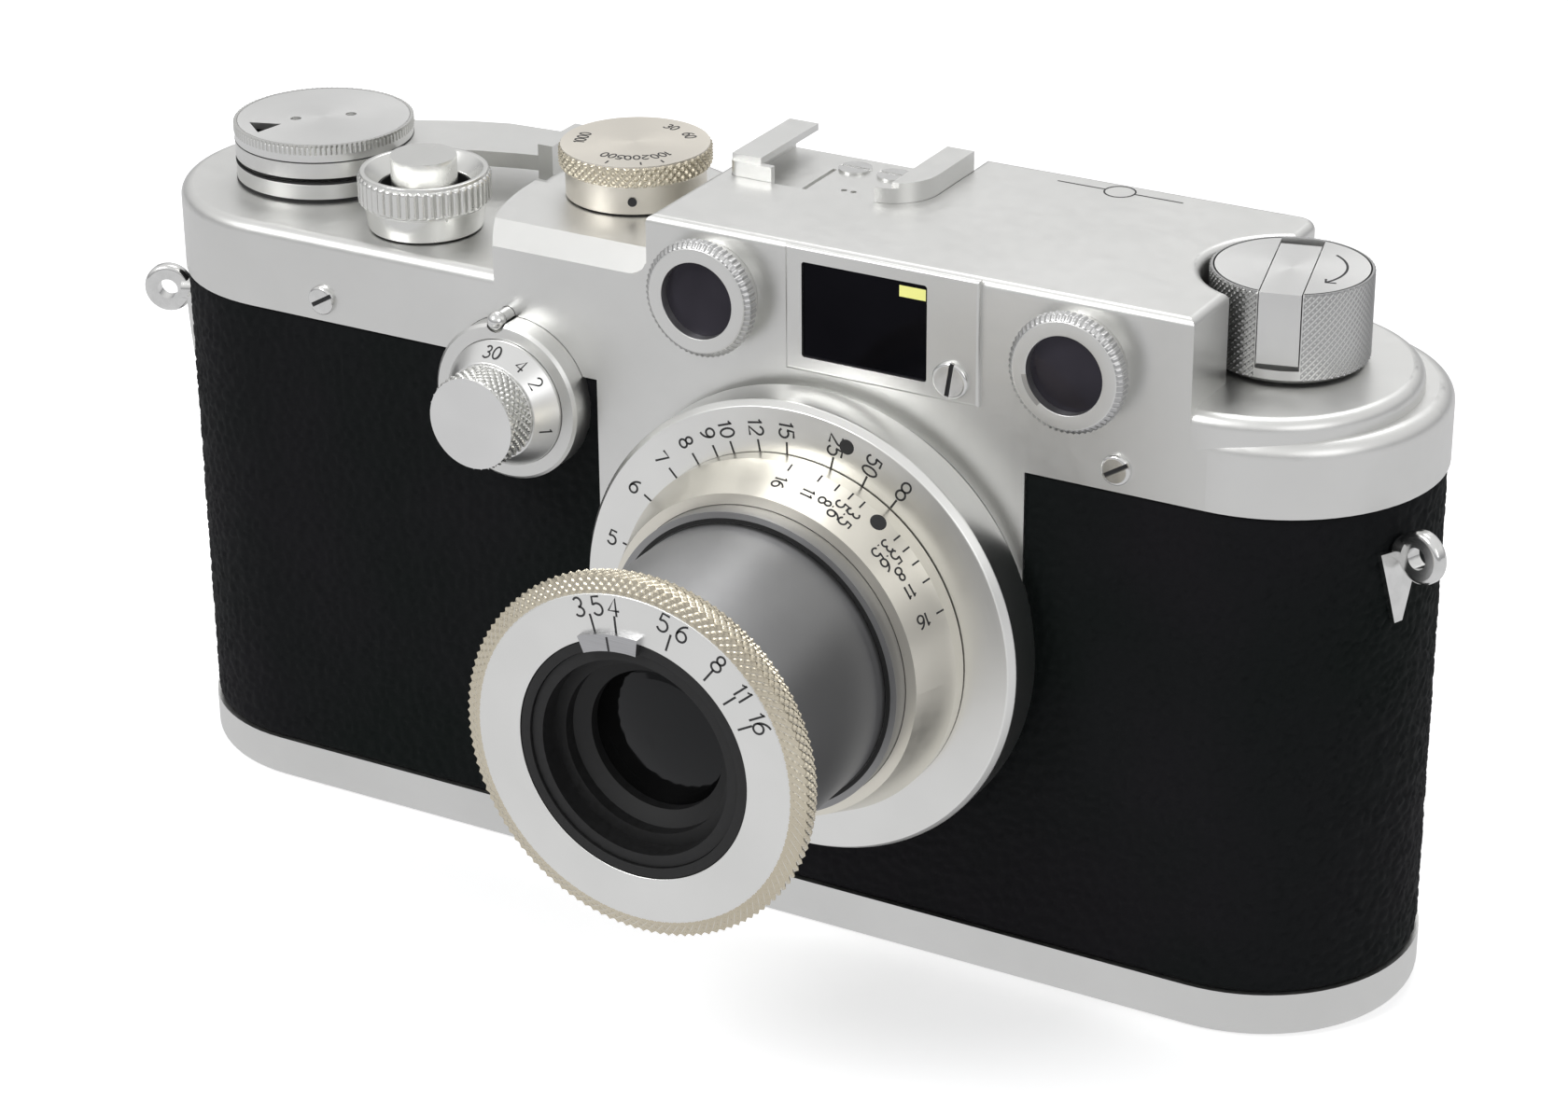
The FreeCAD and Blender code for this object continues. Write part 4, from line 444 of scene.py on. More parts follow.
def brushed_metal(name, tint, rough=0.3, stretch=(1, 1, 60)):
    """Metal with fine scratches along one direction."""
    nodes = Nodes(name)
    scratch = nodes.noise(260, 3, nodes.stretched(stretch))
    darker = tuple(part * 0.86 for part in tint)
    nodes.set(Base_Color=nodes.colours(scratch, darker, tint, 0.3, 0.7), Metallic=1.0,
              Roughness=nodes.between(scratch, rough - 0.06, rough + 0.08),
              Normal=nodes.bump(scratch, 0.12, 0.00003))
    return nodes.material


def matt_paint(name, dark, light, rough=0.6):
    nodes = Nodes(name)
    fleck = nodes.noise(1800, 3)
    nodes.set(Base_Color=nodes.colours(fleck, dark, light, 0.3, 0.75),
              Roughness=nodes.between(fleck, rough - 0.08, rough + 0.1),
              Normal=nodes.bump(fleck, 0.15, 0.00003))
    return nodes.material


def leather_look():
    """Near-black covering: pores and creases on pebbles, greener in broad patches."""
    nodes = Nodes("fine_leather")
    cells = nodes.add("ShaderNodeTexVoronoi", Scale=1500.0, Randomness=1.0)
    nodes.link(nodes.place, cells.inputs["Vector"])
    pores = nodes.noise(5200, 3)
    patch = nodes.noise(35, 3)
    nodes.set(Base_Color=nodes.colours(patch, (0.0028, 0.0048, 0.0044), (0.0068, 0.0064, 0.008),
                                       0.35, 0.65),
              Roughness=nodes.between(pores, 0.62, 0.8), Specular_IOR_Level=0.12,
              Normal=nodes.bump(cells.outputs["Distance"], 0.35, 0.00006,
                                nodes.bump(pores, 0.4, 0.00005)))
    return nodes.material


def coated_glass(name, tint, rough=0.05, sheen_tint=(0.75, 0.7, 1.0), shine=0.3, coat=0.15):
    """Dark glass with a faint coating colour over a black interior."""
    nodes = Nodes(name)
    depth = nodes.noise(120, 2)
    deeper = tuple(part * 0.5 for part in tint)
    nodes.set(Base_Color=nodes.colours(depth, deeper, tint, 0.3, 0.7), Coat_Weight=coat,
              Coat_Roughness=0.04, Specular_IOR_Level=shine, Specular_Tint=(*sheen_tint, 1),
              Roughness=nodes.between(nodes.noise(300, 2), rough, rough + 0.05))
    return nodes.material


def shutter_cloth():
    nodes = Nodes("shutter_cloth")
    weave = nodes.add("ShaderNodeTexChecker", Scale=4000.0)
    nodes.link(nodes.place, weave.inputs["Vector"])
    fleck = nodes.noise(2500, 2)
    nodes.set(Base_Color=nodes.colours(fleck, (0.008, 0.008, 0.009), (0.022, 0.022, 0.024)),
              Roughness=0.85, Normal=nodes.bump(weave.outputs["Fac"], 0.3, 0.00004))
    return nodes.material


def ink_look():
    # Black engraving paint, used as well for painted shade in small holes and screw slots.
    nodes = Nodes("engraving_and_shade_paint")
    fleck = nodes.noise(3000, 2)
    nodes.set(Base_Color=nodes.colours(fleck, (0.012, 0.012, 0.013), (0.03, 0.03, 0.032)),
              Roughness=nodes.between(fleck, 0.55, 0.7))
    return nodes.material


def glow_patch_look():
    """The tinted mirror seen through the finder window, with a painted glow for the light that
    comes through the finder.
    """
    nodes = Nodes("finder_mirror_tint_painted_glow")
    cloud = nodes.noise(200, 2)
    # The emission is a painted glow: the mirror gives off light of its own for the light reaching
    # it through the finder.
    nodes.set(Base_Color=nodes.colours(cloud, (0.62, 0.62, 0.16), (0.82, 0.8, 0.3)),
              Roughness=nodes.between(cloud, 0.2, 0.3),
              Emission_Color=(0.8, 0.8, 0.25, 1), Emission_Strength=0.35)
    return nodes.material


lens_axis = forward_axis("lens_flange")
SATIN = satin_metal("satin_chrome", (0.70, 0.70, 0.685), (0.755, 0.755, 0.74))
SATIN_BRIGHT = satin_metal("lens_aluminium", (0.79, 0.79, 0.775), (0.84, 0.84, 0.825), 0.34)
CHAMPAGNE = satin_metal("warm_nickel", (0.80, 0.77, 0.69), (0.86, 0.83, 0.74), 0.32)
POLISHED = polished_metal("polished_chrome", (0.78, 0.78, 0.77))
STEEL = brushed_metal("ground_steel", (0.52, 0.52, 0.53))
BRASS = brushed_metal("machined_brass", (0.70, 0.52, 0.24))
# The knurled finishes are darker copies of the plain metals beside them: the darker tone is painted
# shade between the teeth. The darkest one is also painted shade on the right bezel's step.
PLAIN_KNURL_SHADED = satin_metal("plain_knurl_painted_shade", (0.60, 0.60, 0.58), (0.68, 0.68, 0.66), 0.26)
WARM_KNURL_SHADED = satin_metal("warm_knurl_painted_shade", (0.62, 0.56, 0.44), (0.72, 0.66, 0.53), 0.26)
COLLAR_SATIN = satin_metal("collar_satin", (0.72, 0.72, 0.70), (0.78, 0.78, 0.76), 0.24)
DARK_KNURL_SHADED = satin_metal("knob_knurl_painted_shade", (0.42, 0.42, 0.42), (0.52, 0.52, 0.52), 0.3)
# Matt black for the black-painted parts; the same black is also painted shade in the lens tube's
# clearance and in the gaps of the wind stack.
BLACK_PAINT_AND_SHADE = matt_paint("matt_black_and_painted_shade", (0.003, 0.003, 0.003), (0.009, 0.009, 0.0095))
LEATHER = leather_look()
WINDOW_GLASS = coated_glass("window_glass", (0.004, 0.004, 0.005), shine=0.05, coat=0.02)
RANGE_GLASS = coated_glass("rangefinder_glass", (0.035, 0.032, 0.04), shine=0.12)
LENS_GLASS = coated_glass("lens_glass", (0.004, 0.004, 0.004), 0.05, (0.9, 0.92, 0.95), 0.3)
CLOTH = shutter_cloth()
INK_AND_SHADE_PAINT = ink_look()
MIRROR_PAINTED_GLOW = glow_patch_look()
CAP_METAL = turned_metal("counter_cap_metal", upright_axis("counter_cap"),
                         (0.72, 0.72, 0.71), (0.78, 0.78, 0.77), 0.34, gloss_turn=0.3)
DIAL_METAL = turned_metal("speed_dial_metal", upright_axis("speed_dial"),
                          (0.74, 0.70, 0.63), (0.80, 0.76, 0.68), 0.34, gloss_turn=0.3)
REWIND_METAL = turned_metal("rewind_knob_metal", upright_axis("rewind_knob"),
                            (0.70, 0.70, 0.69), (0.76, 0.76, 0.75), 0.34, gloss_turn=0.3)
SLOW_METAL = turned_metal("slow_dial_metal", forward_axis("slow_dial"),
                          (0.76, 0.76, 0.75), (0.82, 0.82, 0.81), 0.3)
LENS_METAL = turned_metal("lens_ring_metal", lens_axis, (0.82, 0.82, 0.80), (0.88, 0.88, 0.86),
                          0.33, gloss_turn=0.4)
TUBE_METAL = turned_metal("lens_tube_metal", lens_axis, (0.33, 0.33, 0.335), (0.37, 0.37, 0.375),
                          0.42, gloss_turn=0.3)

FINISHES = (
    (SATIN, ("top_cover", "base_plate", "viewfinder_plate", "rangefinder_bezel_left",
             "rangefinder_bezel_right", "viewfinder_eyepiece", "rangefinder_eyepiece",
             "wind_base_ring", "wind_lever", "slow_dial_base", "flash_sync_socket",
             "base_lock_key", "lens_mount_ring", "accessory_shoe", "release_spring")),
    (SATIN_BRIGHT, ("lens_flange",)),
    (LENS_METAL, ("front_ring",)),
    (CHAMPAGNE, ("focus_ring",)),
    (TUBE_METAL, ("lens_tube", "helicoid_sleeve")),
    (CAP_METAL, ("counter_cap",)),
    (DIAL_METAL, ("speed_dial",)),
    (REWIND_METAL, ("rewind_knob", "rewind_crank")),
    (SLOW_METAL, ("slow_dial",)),
    (POLISHED, ("strap_lug_left", "strap_lug_right", "cover_screws", "accessory_shoe_screws",
                "release_collar", "release_button", "slow_dial_lock_pin", "rewind_crank_pin")),
    (STEEL, ("speed_spindle", "rewind_fork", "sprocket_shaft", "curtain_drum", "aperture_ring",
             "film_pressure_plate", "tripod_socket")),
    (BRASS, ("wind_gear", "idler_gear", "rangefinder_arm")),
    (BLACK_PAINT_AND_SHADE, ("counter_dial", "body_shell", "shutter_crate", "finder_block", "take_up_spool",
             "lens_cone", "iris_diaphragm")),
    (CLOTH, ("first_curtain", "second_curtain")),
    (WINDOW_GLASS, ("viewfinder_window", "viewfinder_eyepiece_lens",
                    "rangefinder_eyepiece_lens")),
    (RANGE_GLASS, ("rangefinder_glass_left", "rangefinder_glass_right")),
    (LENS_GLASS, ("front_element", "rear_element")),
    (LEATHER, ("leather_covering",)),
)


def finish_cad_nodes():
    for material, names in FINISHES:
        for name in names:
            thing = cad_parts[name]
            thing.data.materials.clear()
            thing.data.materials.append(material)


# ---------------------------------------------------------------- leather

PEBBLE_PITCH = 1.15
PEBBLE_HEIGHT = 0.3
SKIN_STEP = 0.33
SKIN_THICKNESS = 0.6


def body_outline(radius, centre, step):
    """Points and outward normals around the round-ended body, counter-clockwise from above."""
    straight = int(2 * centre / step)
    turning = int(math.pi * radius / step)
    ring = []
    for part in range(straight):
        ring.append((Vector((-centre + 2 * centre * part / straight, -radius, 0)), -Y))
    for part in range(turning):
        out = Vector((math.sin(math.pi * part / turning), -math.cos(math.pi * part / turning), 0))
        ring.append((X * centre + out * radius, out))
    for part in range(straight):
        ring.append((Vector((centre - 2 * centre * part / straight, radius, 0)), Y))
    for part in range(turning):
        out = Vector((-math.sin(math.pi * part / turning), math.cos(math.pi * part / turning), 0))
        ring.append((-X * centre + out * radius, out))
    return ring


def pebble(point):
    """Height of the leather grain at a point, from 0 in the creases to 1 on the pebbles."""
    near, _ = noise.voronoi(point / PEBBLE_PITCH, distance_metric="DISTANCE", exponent=2.5)
    crease = min(1, (near[1] - near[0]) / 0.38)
    swell = 0.5 + 0.5 * noise.noise(point / 5)
    return crease ** 0.6 * (0.7 + 0.3 * swell)


def under_fittings():
    """A test for whether a point of the leather lies wholly under a metal fitting."""
    ring = corners("lens_mount_ring")
    base = corners("slow_dial_base")
    discs = [((low.x + high.x) / 2, (low.z + high.z) / 2, (high.x - low.x) / 2 - 0.3)
             for low, high in (ring, base)]
    left, right, lowest = APRON

    def covered(point):
        if point.y > 0:
            return False
        return (left < point.x < right and point.z > lowest
                or any(math.hypot(point.x - x, point.z - z) < reach for x, z, reach in discs))
    return covered


APRON = (-11.0, 33.85, 31.35)


def leather_skin():
    """The pebbled covering, displaced over the CAD sleeve and left out under the fittings."""
    low, high = corners("leather_covering")
    radius = (high.y - low.y) / 2 - PEBBLE_HEIGHT * 0.5
    centre = high.x - (high.y - low.y) / 2
    ring = body_outline(radius, centre, SKIN_STEP)
    rows = int((high.z - low.z) / SKIN_STEP) + 1
    points = []
    for row in range(rows):
        height = low.z + (high.z - low.z) * row / (rows - 1)
        edge = min(1, min(row, rows - 1 - row) / 2)
        for place, out in ring:
            point = place + Z * height
            points.append(point + out * PEBBLE_HEIGHT * (pebble(point) * edge - 0.2))
    covered = under_fittings()
    hidden = [covered(point) for point in points]
    faces = [face for face in grid_faces(rows, len(ring), True)
             if not all(hidden[index] for index in face)]
    skin = piece("leather_skin", points, faces, "camera_body", LEATHER, 80)
    wall = skin.modifiers.new("thickness", "SOLIDIFY")
    wall.thickness = SKIN_THICKNESS * MM
    wall.offset = -1
    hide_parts("leather_covering")
    return skin


# ---------------------------------------------------------------- turned pieces

def release_collar():
    """The fluted collar with its funnel, and the button down inside it."""
    axis = upright_axis("release_collar")
    low, top = bottom_of("release_collar"), top_of("release_collar")
    radius = half_width("release_collar") - 0.3
    bore = radius - 1.8
    skirt = top - 3.4
    lathe("release_collar_body", ["release_collar"], "release_collar", COLLAR_SATIN,
          axis, [(bore, low), (radius - 0.7, low), (radius - 0.25, skirt), (radius, skirt),
                 (radius, top), (radius - 0.5, top), (bore, top - 1.6)], closed=True)
    knurl("release_collar_flutes", "release_collar", COLLAR_SATIN, axis,
          [(radius, skirt + 0.15), (radius, top - 0.3)], 46, 0.3, round_flutes, samples=6)
    lathe("release_collar_throat", [], "release_collar", BLACK_PAINT_AND_SHADE, axis,
          [(bore - 0.12, low + 0.1), (bore + 0.05, low + 0.1), (bore + 0.05, top - 1.7),
           (bore - 0.12, top - 1.7)], closed=True, edge=0.02)


def release_button():
    axis = upright_axis("release_button")
    low, top = bottom_of("release_button"), top_of("release_button")
    flange = half_width("release_button")
    head = flange - 1.0
    seat = top - 4.8
    lathe("release_button_body", ["release_button"], "release_button", COLLAR_SATIN,
          axis, [(1.2, low), (1.2, seat), (head, seat), (head, top)], edge=0.3)
    lathe("release_button_flange", [], "release_button", BLACK_PAINT_AND_SHADE, axis,
          [(head - 0.1, seat), (flange, seat), (flange, seat + 0.6), (head - 0.1, seat + 0.6)],
          closed=True, edge=0.05)


def speed_dial():
    axis = upright_axis("speed_dial")
    low, top = bottom_of("speed_dial"), top_of("speed_dial")
    radius = half_width("speed_dial") - 0.28
    step = top - 2.2
    lathe("speed_dial_body", ["speed_dial"], "speed_dial", DIAL_METAL, axis,
          [(radius - 0.4, low), (radius - 0.4, step), (radius, step), (radius, top)])
    knurl("speed_dial_knurl", "speed_dial", WARM_KNURL_SHADED, axis,
          [(radius, step + 0.05), (radius, top - 0.12)], 52, 0.3, diamonds, samples=6, run_out=0.1)


def counter_cap():
    """Serration along the upper edge alone; the side below stays plain."""
    axis = upright_axis("counter_cap")
    radius = half_width("counter_cap")
    top = top_of("counter_cap")
    knurl("counter_cap_knurl", "wind_lever", PLAIN_KNURL_SHADED, axis,
          [(radius - 0.04, top - 1.0), (radius - 0.04, top)], 110, 0.14, straight_ridges, run_out=0)


def rewind_knob():
    axis = upright_axis("rewind_knob")
    radius = half_width("rewind_knob")
    slot = math.degrees(2.0 / radius) + 1.2
    knurl("rewind_knob_knurl", "rewind_knob", DARK_KNURL_SHADED, axis,
          [(radius - 0.05, bottom_of("rewind_knob") + 0.4), (radius - 0.05, top_of("rewind_knob"))],
          62, 0.22, diamonds, start=CRANK_TURN + slot, sweep=360 - 2 * slot, run_out=0)


def slow_dial():
    """The disc with its steep numbered skirt, and the knurled knob."""
    axis = forward_axis("slow_dial")
    front = front_of("slow_dial")
    back = -corners("slow_dial")[1].y
    disc = half_width("slow_dial")
    foot, rise = front - SLOW_SKIRT_FOOT, front - SLOW_SKIRT_TOP
    knob = disc - SLOW_SKIRT_WIDTH
    lathe("slow_dial_body", ["slow_dial"], "slow_dial", SLOW_METAL, axis,
          [(2.0, back), (2.0, foot - 1.75), (disc, foot - 1.75), (disc, foot), (knob, rise),
           (knob - 0.28, rise), (knob - 0.28, front)], edge=0.12)
    knurl("slow_dial_knurl", "slow_dial", PLAIN_KNURL_SHADED, axis,
          [(knob - 0.28, rise + 0.05), (knob - 0.28, front - 0.1)], 34, 0.3, diamonds, samples=6,
          run_out=0.1)


def rangefinder_bezels():
    """Two screwed rings with serrated rims over a neck; on the right one a flat darker arc inside
    the rim is painted shade for its stepped inner edge.
    """
    for side in ("left", "right"):
        node = "rangefinder_bezel_" + side
        axis = forward_axis(node)
        front = front_of(node)
        radius = half_width(node) - 0.12
        wall = front - 3
        neck = radius - 0.68
        pane = half_width("rangefinder_glass_" + side)
        lathe(node + "_body", [node], "camera_body", SATIN, axis,
              [(pane - 0.4, wall - 1.5), (pane + 0.64, wall - 1.5), (pane + 0.64, wall),
               (neck, wall), (neck, front - 1.8), (radius, front - 1.4), (radius, front - 0.5),
               (radius - 0.5, front), (pane, front), (pane, front - 2), (pane - 0.4, front - 2)],
              closed=True, edge=0.08)
        knurl(node + "_serration", "camera_body", DARK_KNURL_SHADED, axis,
              [(radius, front - 1.4), (radius, front - 0.5), (radius - 0.45, front - 0.05)],
              60, 0.14, straight_ridges, run_out=0)
        if side == "right":
            # Painted shade: a flat darker arc stands for the shade of the step.
            step = [axis.at(pane + 0.2, angle, front) for angle in range(188, 235, 5)]
            engraving(node + "_step_shade", "camera_body", [(step, axis.along)], 0.5, DARK_KNURL_SHADED)


def lens_flange():
    front = front_of("lens_flange")
    radius = half_width("lens_flange")
    back = -corners("lens_flange")[1].y
    face = -corners("lens_mount_ring")[0].y
    neck = radius - 3.48
    seat = radius - 5.88
    lathe("lens_flange_body", ["lens_flange"], "camera_body", LENS_METAL, lens_axis,
          [(seat - 1.75, back), (neck, back), (neck, face), (radius, face), (radius, front - 0.8),
           (radius - 0.5, front), (seat, front), (seat, front - 4.1), (seat - 1.75, front - 4.1)],
          closed=True, sides=200)


def lens_barrel():
    """The collapsible tube with its knurled front ring."""
    tube = half_width("lens_tube")
    back = -corners("lens_tube")[1].y
    shoulder = front_of("lens_tube")
    lathe("lens_tube_body", ["lens_tube"], "lens_tube", TUBE_METAL, lens_axis,
          [(tube - 1.08, back), (tube, back), (tube, shoulder), (tube - 1.08, shoulder)],
          closed=True, sides=200)
    front = front_of("front_ring")
    rim = half_width("front_ring") - 0.12
    opening = rim - 5.99
    outline = [(rim - 0.79, shoulder + 0.75), (rim - 0.29, shoulder + 2.0),
               (rim - 0.34, front - 0.55), (rim - 1.72, front - 0.05)]
    lathe("front_ring_body", ["front_ring"], "lens_tube", LENS_METAL, lens_axis,
          [(tube - 2.08, shoulder - 2.6), (tube - 1.08, shoulder - 2.6), (tube - 1.08, shoulder),
           (tube + 1.1, shoulder)] + outline
          + [(rim - 1.79, front), (opening, front), (opening, front - 1), (tube - 2.08, front - 1)],
          closed=True, edge=0.1, sides=200)
    knurl("front_ring_knurl", "lens_tube", WARM_KNURL_SHADED, lens_axis,
          [(tube + 1.2, shoulder + 0.05)] + outline, 124, 0.3, diamonds, samples=6, run_out=0.1)


def aperture_ring():
    """The black ring inside the scale, with a bright finger tab."""
    front = front_of("front_ring")
    inner = half_width("lens_cone") - 1.35
    outer = inner + 0.95
    lathe("aperture_ring_body", ["aperture_ring"], "aperture", BLACK_PAINT_AND_SHADE, lens_axis,
          [(inner, front - 1.8), (outer + 0.3, front - 1.8), (outer + 0.3, front - 1.05),
           (outer, front - 1.05), (outer, front - 0.1), (inner, front - 0.1)], closed=True,
          edge=0.06)
    angles = [TAB_ANGLE + 14.5 * part / 8 for part in range(-8, 9)]
    points = []
    for height in (front - 0.3, front + 0.6):
        points += [lens_axis.at(12.35, angle, height) for angle in angles]
        points += [lens_axis.at(10.75, angle, height) for angle in reversed(angles)]
    count = len(points) // 2
    faces = [tuple(range(count)), tuple(reversed(range(count, 2 * count)))]
    faces += [(side, (side + 1) % count, count + (side + 1) % count, count + side)
              for side in range(count)]
    piece("aperture_tab", points, faces, "aperture", STEEL)
    index = [([lens_axis.at(reach, TAB_ANGLE, front + 0.6) for reach in (10.7, 12.1)],
              lens_axis.along)]
    engraving("aperture_index", "aperture", index, 0.2, INK_AND_SHADE_PAINT)


def tube_gap():
    """The shade in the clearance between the tube and the sleeve around it, painted as a black ring
    on the sleeve's face.
    """
    tube = half_width("lens_tube")
    front = front_of("helicoid_sleeve")
    lathe("tube_gap_shadow", [], "helicoid_sleeve", BLACK_PAINT_AND_SHADE, lens_axis,
          [(tube + 0.07, front - 0.3), (tube + 0.5, front - 0.3), (tube + 0.5, front + 0.03),
           (tube + 0.07, front + 0.03)], closed=True, edge=0.02)


def stack_seams():
    """Black rings of painted shade in the gaps under the counter cap, under the wind lever's hub
    and at the deck.
    """
    axis = upright_axis("wind_base_ring")
    radius = half_width("wind_base_ring")
    hub, deck = top_of("wind_base_ring"), bottom_of("wind_base_ring") + 1
    for name, body, low, tall in (("cap_gap_shade", "wind_lever", bottom_of("counter_cap"), 0.08),
                                  ("hub_gap_shade", "camera_body", hub - 0.16, 0.16),
                                  ("deck_gap_shade", "camera_body", deck, 0.35)):
        lathe(name, [], body, BLACK_PAINT_AND_SHADE, axis,
              [(radius - 0.3, low), (radius + 0.03, low), (radius + 0.03, low + tall),
               (radius - 0.3, low + tall)], closed=True, edge=0.01)


def finder_patch():
    """The yellow mirror seen through the finder window's upper right corner, glowing with painted
    light.
    """
    box = corners("viewfinder_window")
    right, top, face = box[1].x, box[1].z, box[0].y
    points = [Vector((x, y, z)) for y in (face + 0.3, face - 0.02)
              for x, z in ((right - 2.95, top - 1.6), (right - 0.25, top - 1.6),
                           (right - 0.25, top - 0.5), (right - 2.95, top - 0.5))]
    faces = [(0, 1, 2, 3), (7, 6, 5, 4), (0, 4, 5, 1), (1, 5, 6, 2), (2, 6, 7, 3), (3, 7, 4, 0)]
    piece("finder_mirror", points, faces, "camera_body", MIRROR_PAINTED_GLOW)


def front_glass():
    """The bulging front glass, smooth in place of the stepped solid."""
    radius = half_width("front_element")
    crown = front_of("front_element")
    back = -corners("front_element")[1].y
    sagitta = 1.1
    bulge = (radius ** 2 + sagitta ** 2) / (2 * sagitta)
    arc = [(radius * part / 12, crown - bulge + math.sqrt(bulge ** 2 - (radius * part / 12) ** 2))
           for part in range(12, 0, -1)]
    lathe("front_element_glass", ["front_element"], "lens_tube", LENS_GLASS,
          lens_axis, [(radius, back)] + arc, edge=0.02)


def turned_pieces():
    release_collar()
    release_button()
    speed_dial()
    counter_cap()
    rewind_knob()
    slow_dial()
    rangefinder_bezels()
    lens_flange()
    lens_barrel()
    aperture_ring()
    front_glass()
    tube_gap()
    stack_seams()
    finder_patch()


# ---------------------------------------------------------------- engraved scales

def numbers(places, normal, height):
    """Strokes of several numbers, each given as text, centre, reading direction and up."""
    return [(line, normal) for text, centre, across, upward in places
            for line in number_strokes(text, centre, across, upward, height)]


def distance_scale():
    """Distances around the lens flange, read towards the axis."""
    height = front_of("lens_flange")
    normal = lens_axis.along
    strokes = []
    for distance in (5, 6, 7, 8, 9, 10, 12, 15, 25, 50):
        angle = 55 + 550 / distance
        strokes += numbers([(str(distance), lens_axis.at(DISTANCE_DIGITS, angle, height),
                             -lens_axis.radial(angle), -lens_axis.tangent(angle))], normal, 1.5)
        strokes.append(([lens_axis.at(radius, angle, height) for radius in (18.0, DISTANCE_TICK)],
                        normal))
    strokes += numbers([("o", lens_axis.at(DISTANCE_DIGITS, 55.5, height),
                         -lens_axis.radial(55.5), -lens_axis.tangent(55.5))], normal, 1.7)
    strokes.append(([lens_axis.at(radius, 55.5, height) for radius in (18.1, DISTANCE_TICK)],
                    normal))
    return strokes


def aperture_scale():
    """Apertures around the front ring, tops outward."""
    height = front_of("front_ring")
    normal = lens_axis.along
    strokes = []
    for number, angle in (("3.5", 106.1), ("4", 95.8), ("5.6", 72.2), ("8", 52.3), ("11", 39.8),
                          ("16", 27.9)):
        strokes += numbers([(number, lens_axis.at(14.75, angle, height),
                             -lens_axis.tangent(angle), lens_axis.radial(angle))], normal, 1.75)
        strokes.append(([lens_axis.at(radius, angle, height) for radius in (12.3, 13.9)], normal))
    return strokes


def on_cone(angle, forward):
    """A point on the focusing cone, the direction up its slope, and its normal."""
    out = lens_axis.radial(angle)
    uphill = (lens_axis.along * CONE_LENGTH - out * CONE_DROP).normalized()
    normal = (out * CONE_LENGTH + lens_axis.along * CONE_DROP).normalized()
    foot = lens_axis.at(CONE_RADIUS, angle, front_of("lens_flange") + CONE_FOOT)
    return foot + uphill * forward, uphill, normal


def depth_scale():
    """Apertures on both sides of the focusing index, along the slope of the cone."""
    strokes = []
    for number in (3.5, 5.6, 8, 11, 16):
        for side in (-1, 1):
            angle = INDEX_ANGLE + 2.02 * number * side
            foot, uphill, normal = on_cone(angle, 0)
            strokes.append(([foot, foot + uphill * 0.9], normal))
            strokes += numbers([("%g" % number, foot + uphill * 2.5, uphill,
                                 -lens_axis.tangent(angle))], normal, 1.25)
    return strokes


def speed_scale():
    """Plain speeds on top of the dial, tops outward, three of them with a tick at the rim."""
    axis = upright_axis("speed_dial")
    top = top_of("speed_dial")
    places = [(text, axis.at(radius, angle, top), -axis.tangent(angle), axis.radial(angle))
              for text, angle, radius in (("1000", -164.6, 5.4), ("500", -87.7, 4.6),
                                          ("200", -57.4, 4.6), ("100", -27.6, 4.7),
                                          ("60", 47.1, 5.5), ("30", 79.6, 5.4))]
    ticks = [([axis.at(radius, angle, top) for radius in (6.0, 6.7)], Z)
             for angle in (-84.5, -54.2, -34.8)]
    return numbers(places, Z, 1.1) + ticks


def slow_scale():
    """Speeds on the slope of the skirt, tops outward."""
    axis = forward_axis("slow_dial")
    height = front_of("slow_dial") - (SLOW_SKIRT_FOOT + SLOW_SKIRT_TOP) / 2
    radius = half_width("slow_dial") - SLOW_SKIRT_WIDTH / 2
    rise = SLOW_SKIRT_FOOT - SLOW_SKIRT_TOP
    strokes = []
    for text, angle in (("30", 93), ("4", 59), ("2", 36.5), ("1", -14)):
        out = axis.radial(angle)
        downhill = (out * SLOW_SKIRT_WIDTH - axis.along * rise).normalized()
        normal = (out * rise + axis.along * SLOW_SKIRT_WIDTH).normalized()
        strokes += numbers([(text, axis.at(radius, angle, height), -axis.tangent(angle),
                             downhill)], normal, 1.35)
    return strokes


def film_plane_mark():
    """A ring with a line through it, level with the film."""
    centre = Vector((FILM_MARK_X, corners("first_curtain")[1].y + 3.6, top_of("top_cover")))
    reach, length = 1.5, 6.5
    ring = [centre + X * x + Y * y for x, y in bow(0, 0, reach, reach, 0, 360)]
    sides = [([centre + X * reach * side, centre + X * length * side], Z) for side in (-1, 1)]
    return [(ring, Z)] + sides


def crank_arrow():
    """The turning direction, cut into the rewind knob's top."""
    axis = upright_axis("rewind_knob")
    top = top_of("rewind_knob")
    arc = [axis.at(4.9, CRANK_TURN + turn, top) for turn in range(45, 136, 6)]
    barb = [axis.at(4.3, CRANK_TURN + 52, top), arc[0], axis.at(5.6, CRANK_TURN + 52, top)]
    return [(arc, Z), (barb, Z)]


def spot(name, body, centre, normal, radius):
    """A small round hole, shown as a flat black disc of painted shade."""
    across = normal.orthogonal().normalized()
    around = normal.cross(across)
    points = []
    for height in (-0.05, 0.015):
        for side in range(20):
            turn = math.tau * side / 20
            points.append(centre + normal * height + across * radius * math.cos(turn)
                          + around * radius * math.sin(turn))
    faces = [tuple(range(20)), tuple(range(20, 40))]
    faces += [(side, (side + 1) % 20, 20 + (side + 1) % 20, 20 + side) for side in range(20)]
    return piece(name, points, faces, body, INK_AND_SHADE_PAINT)


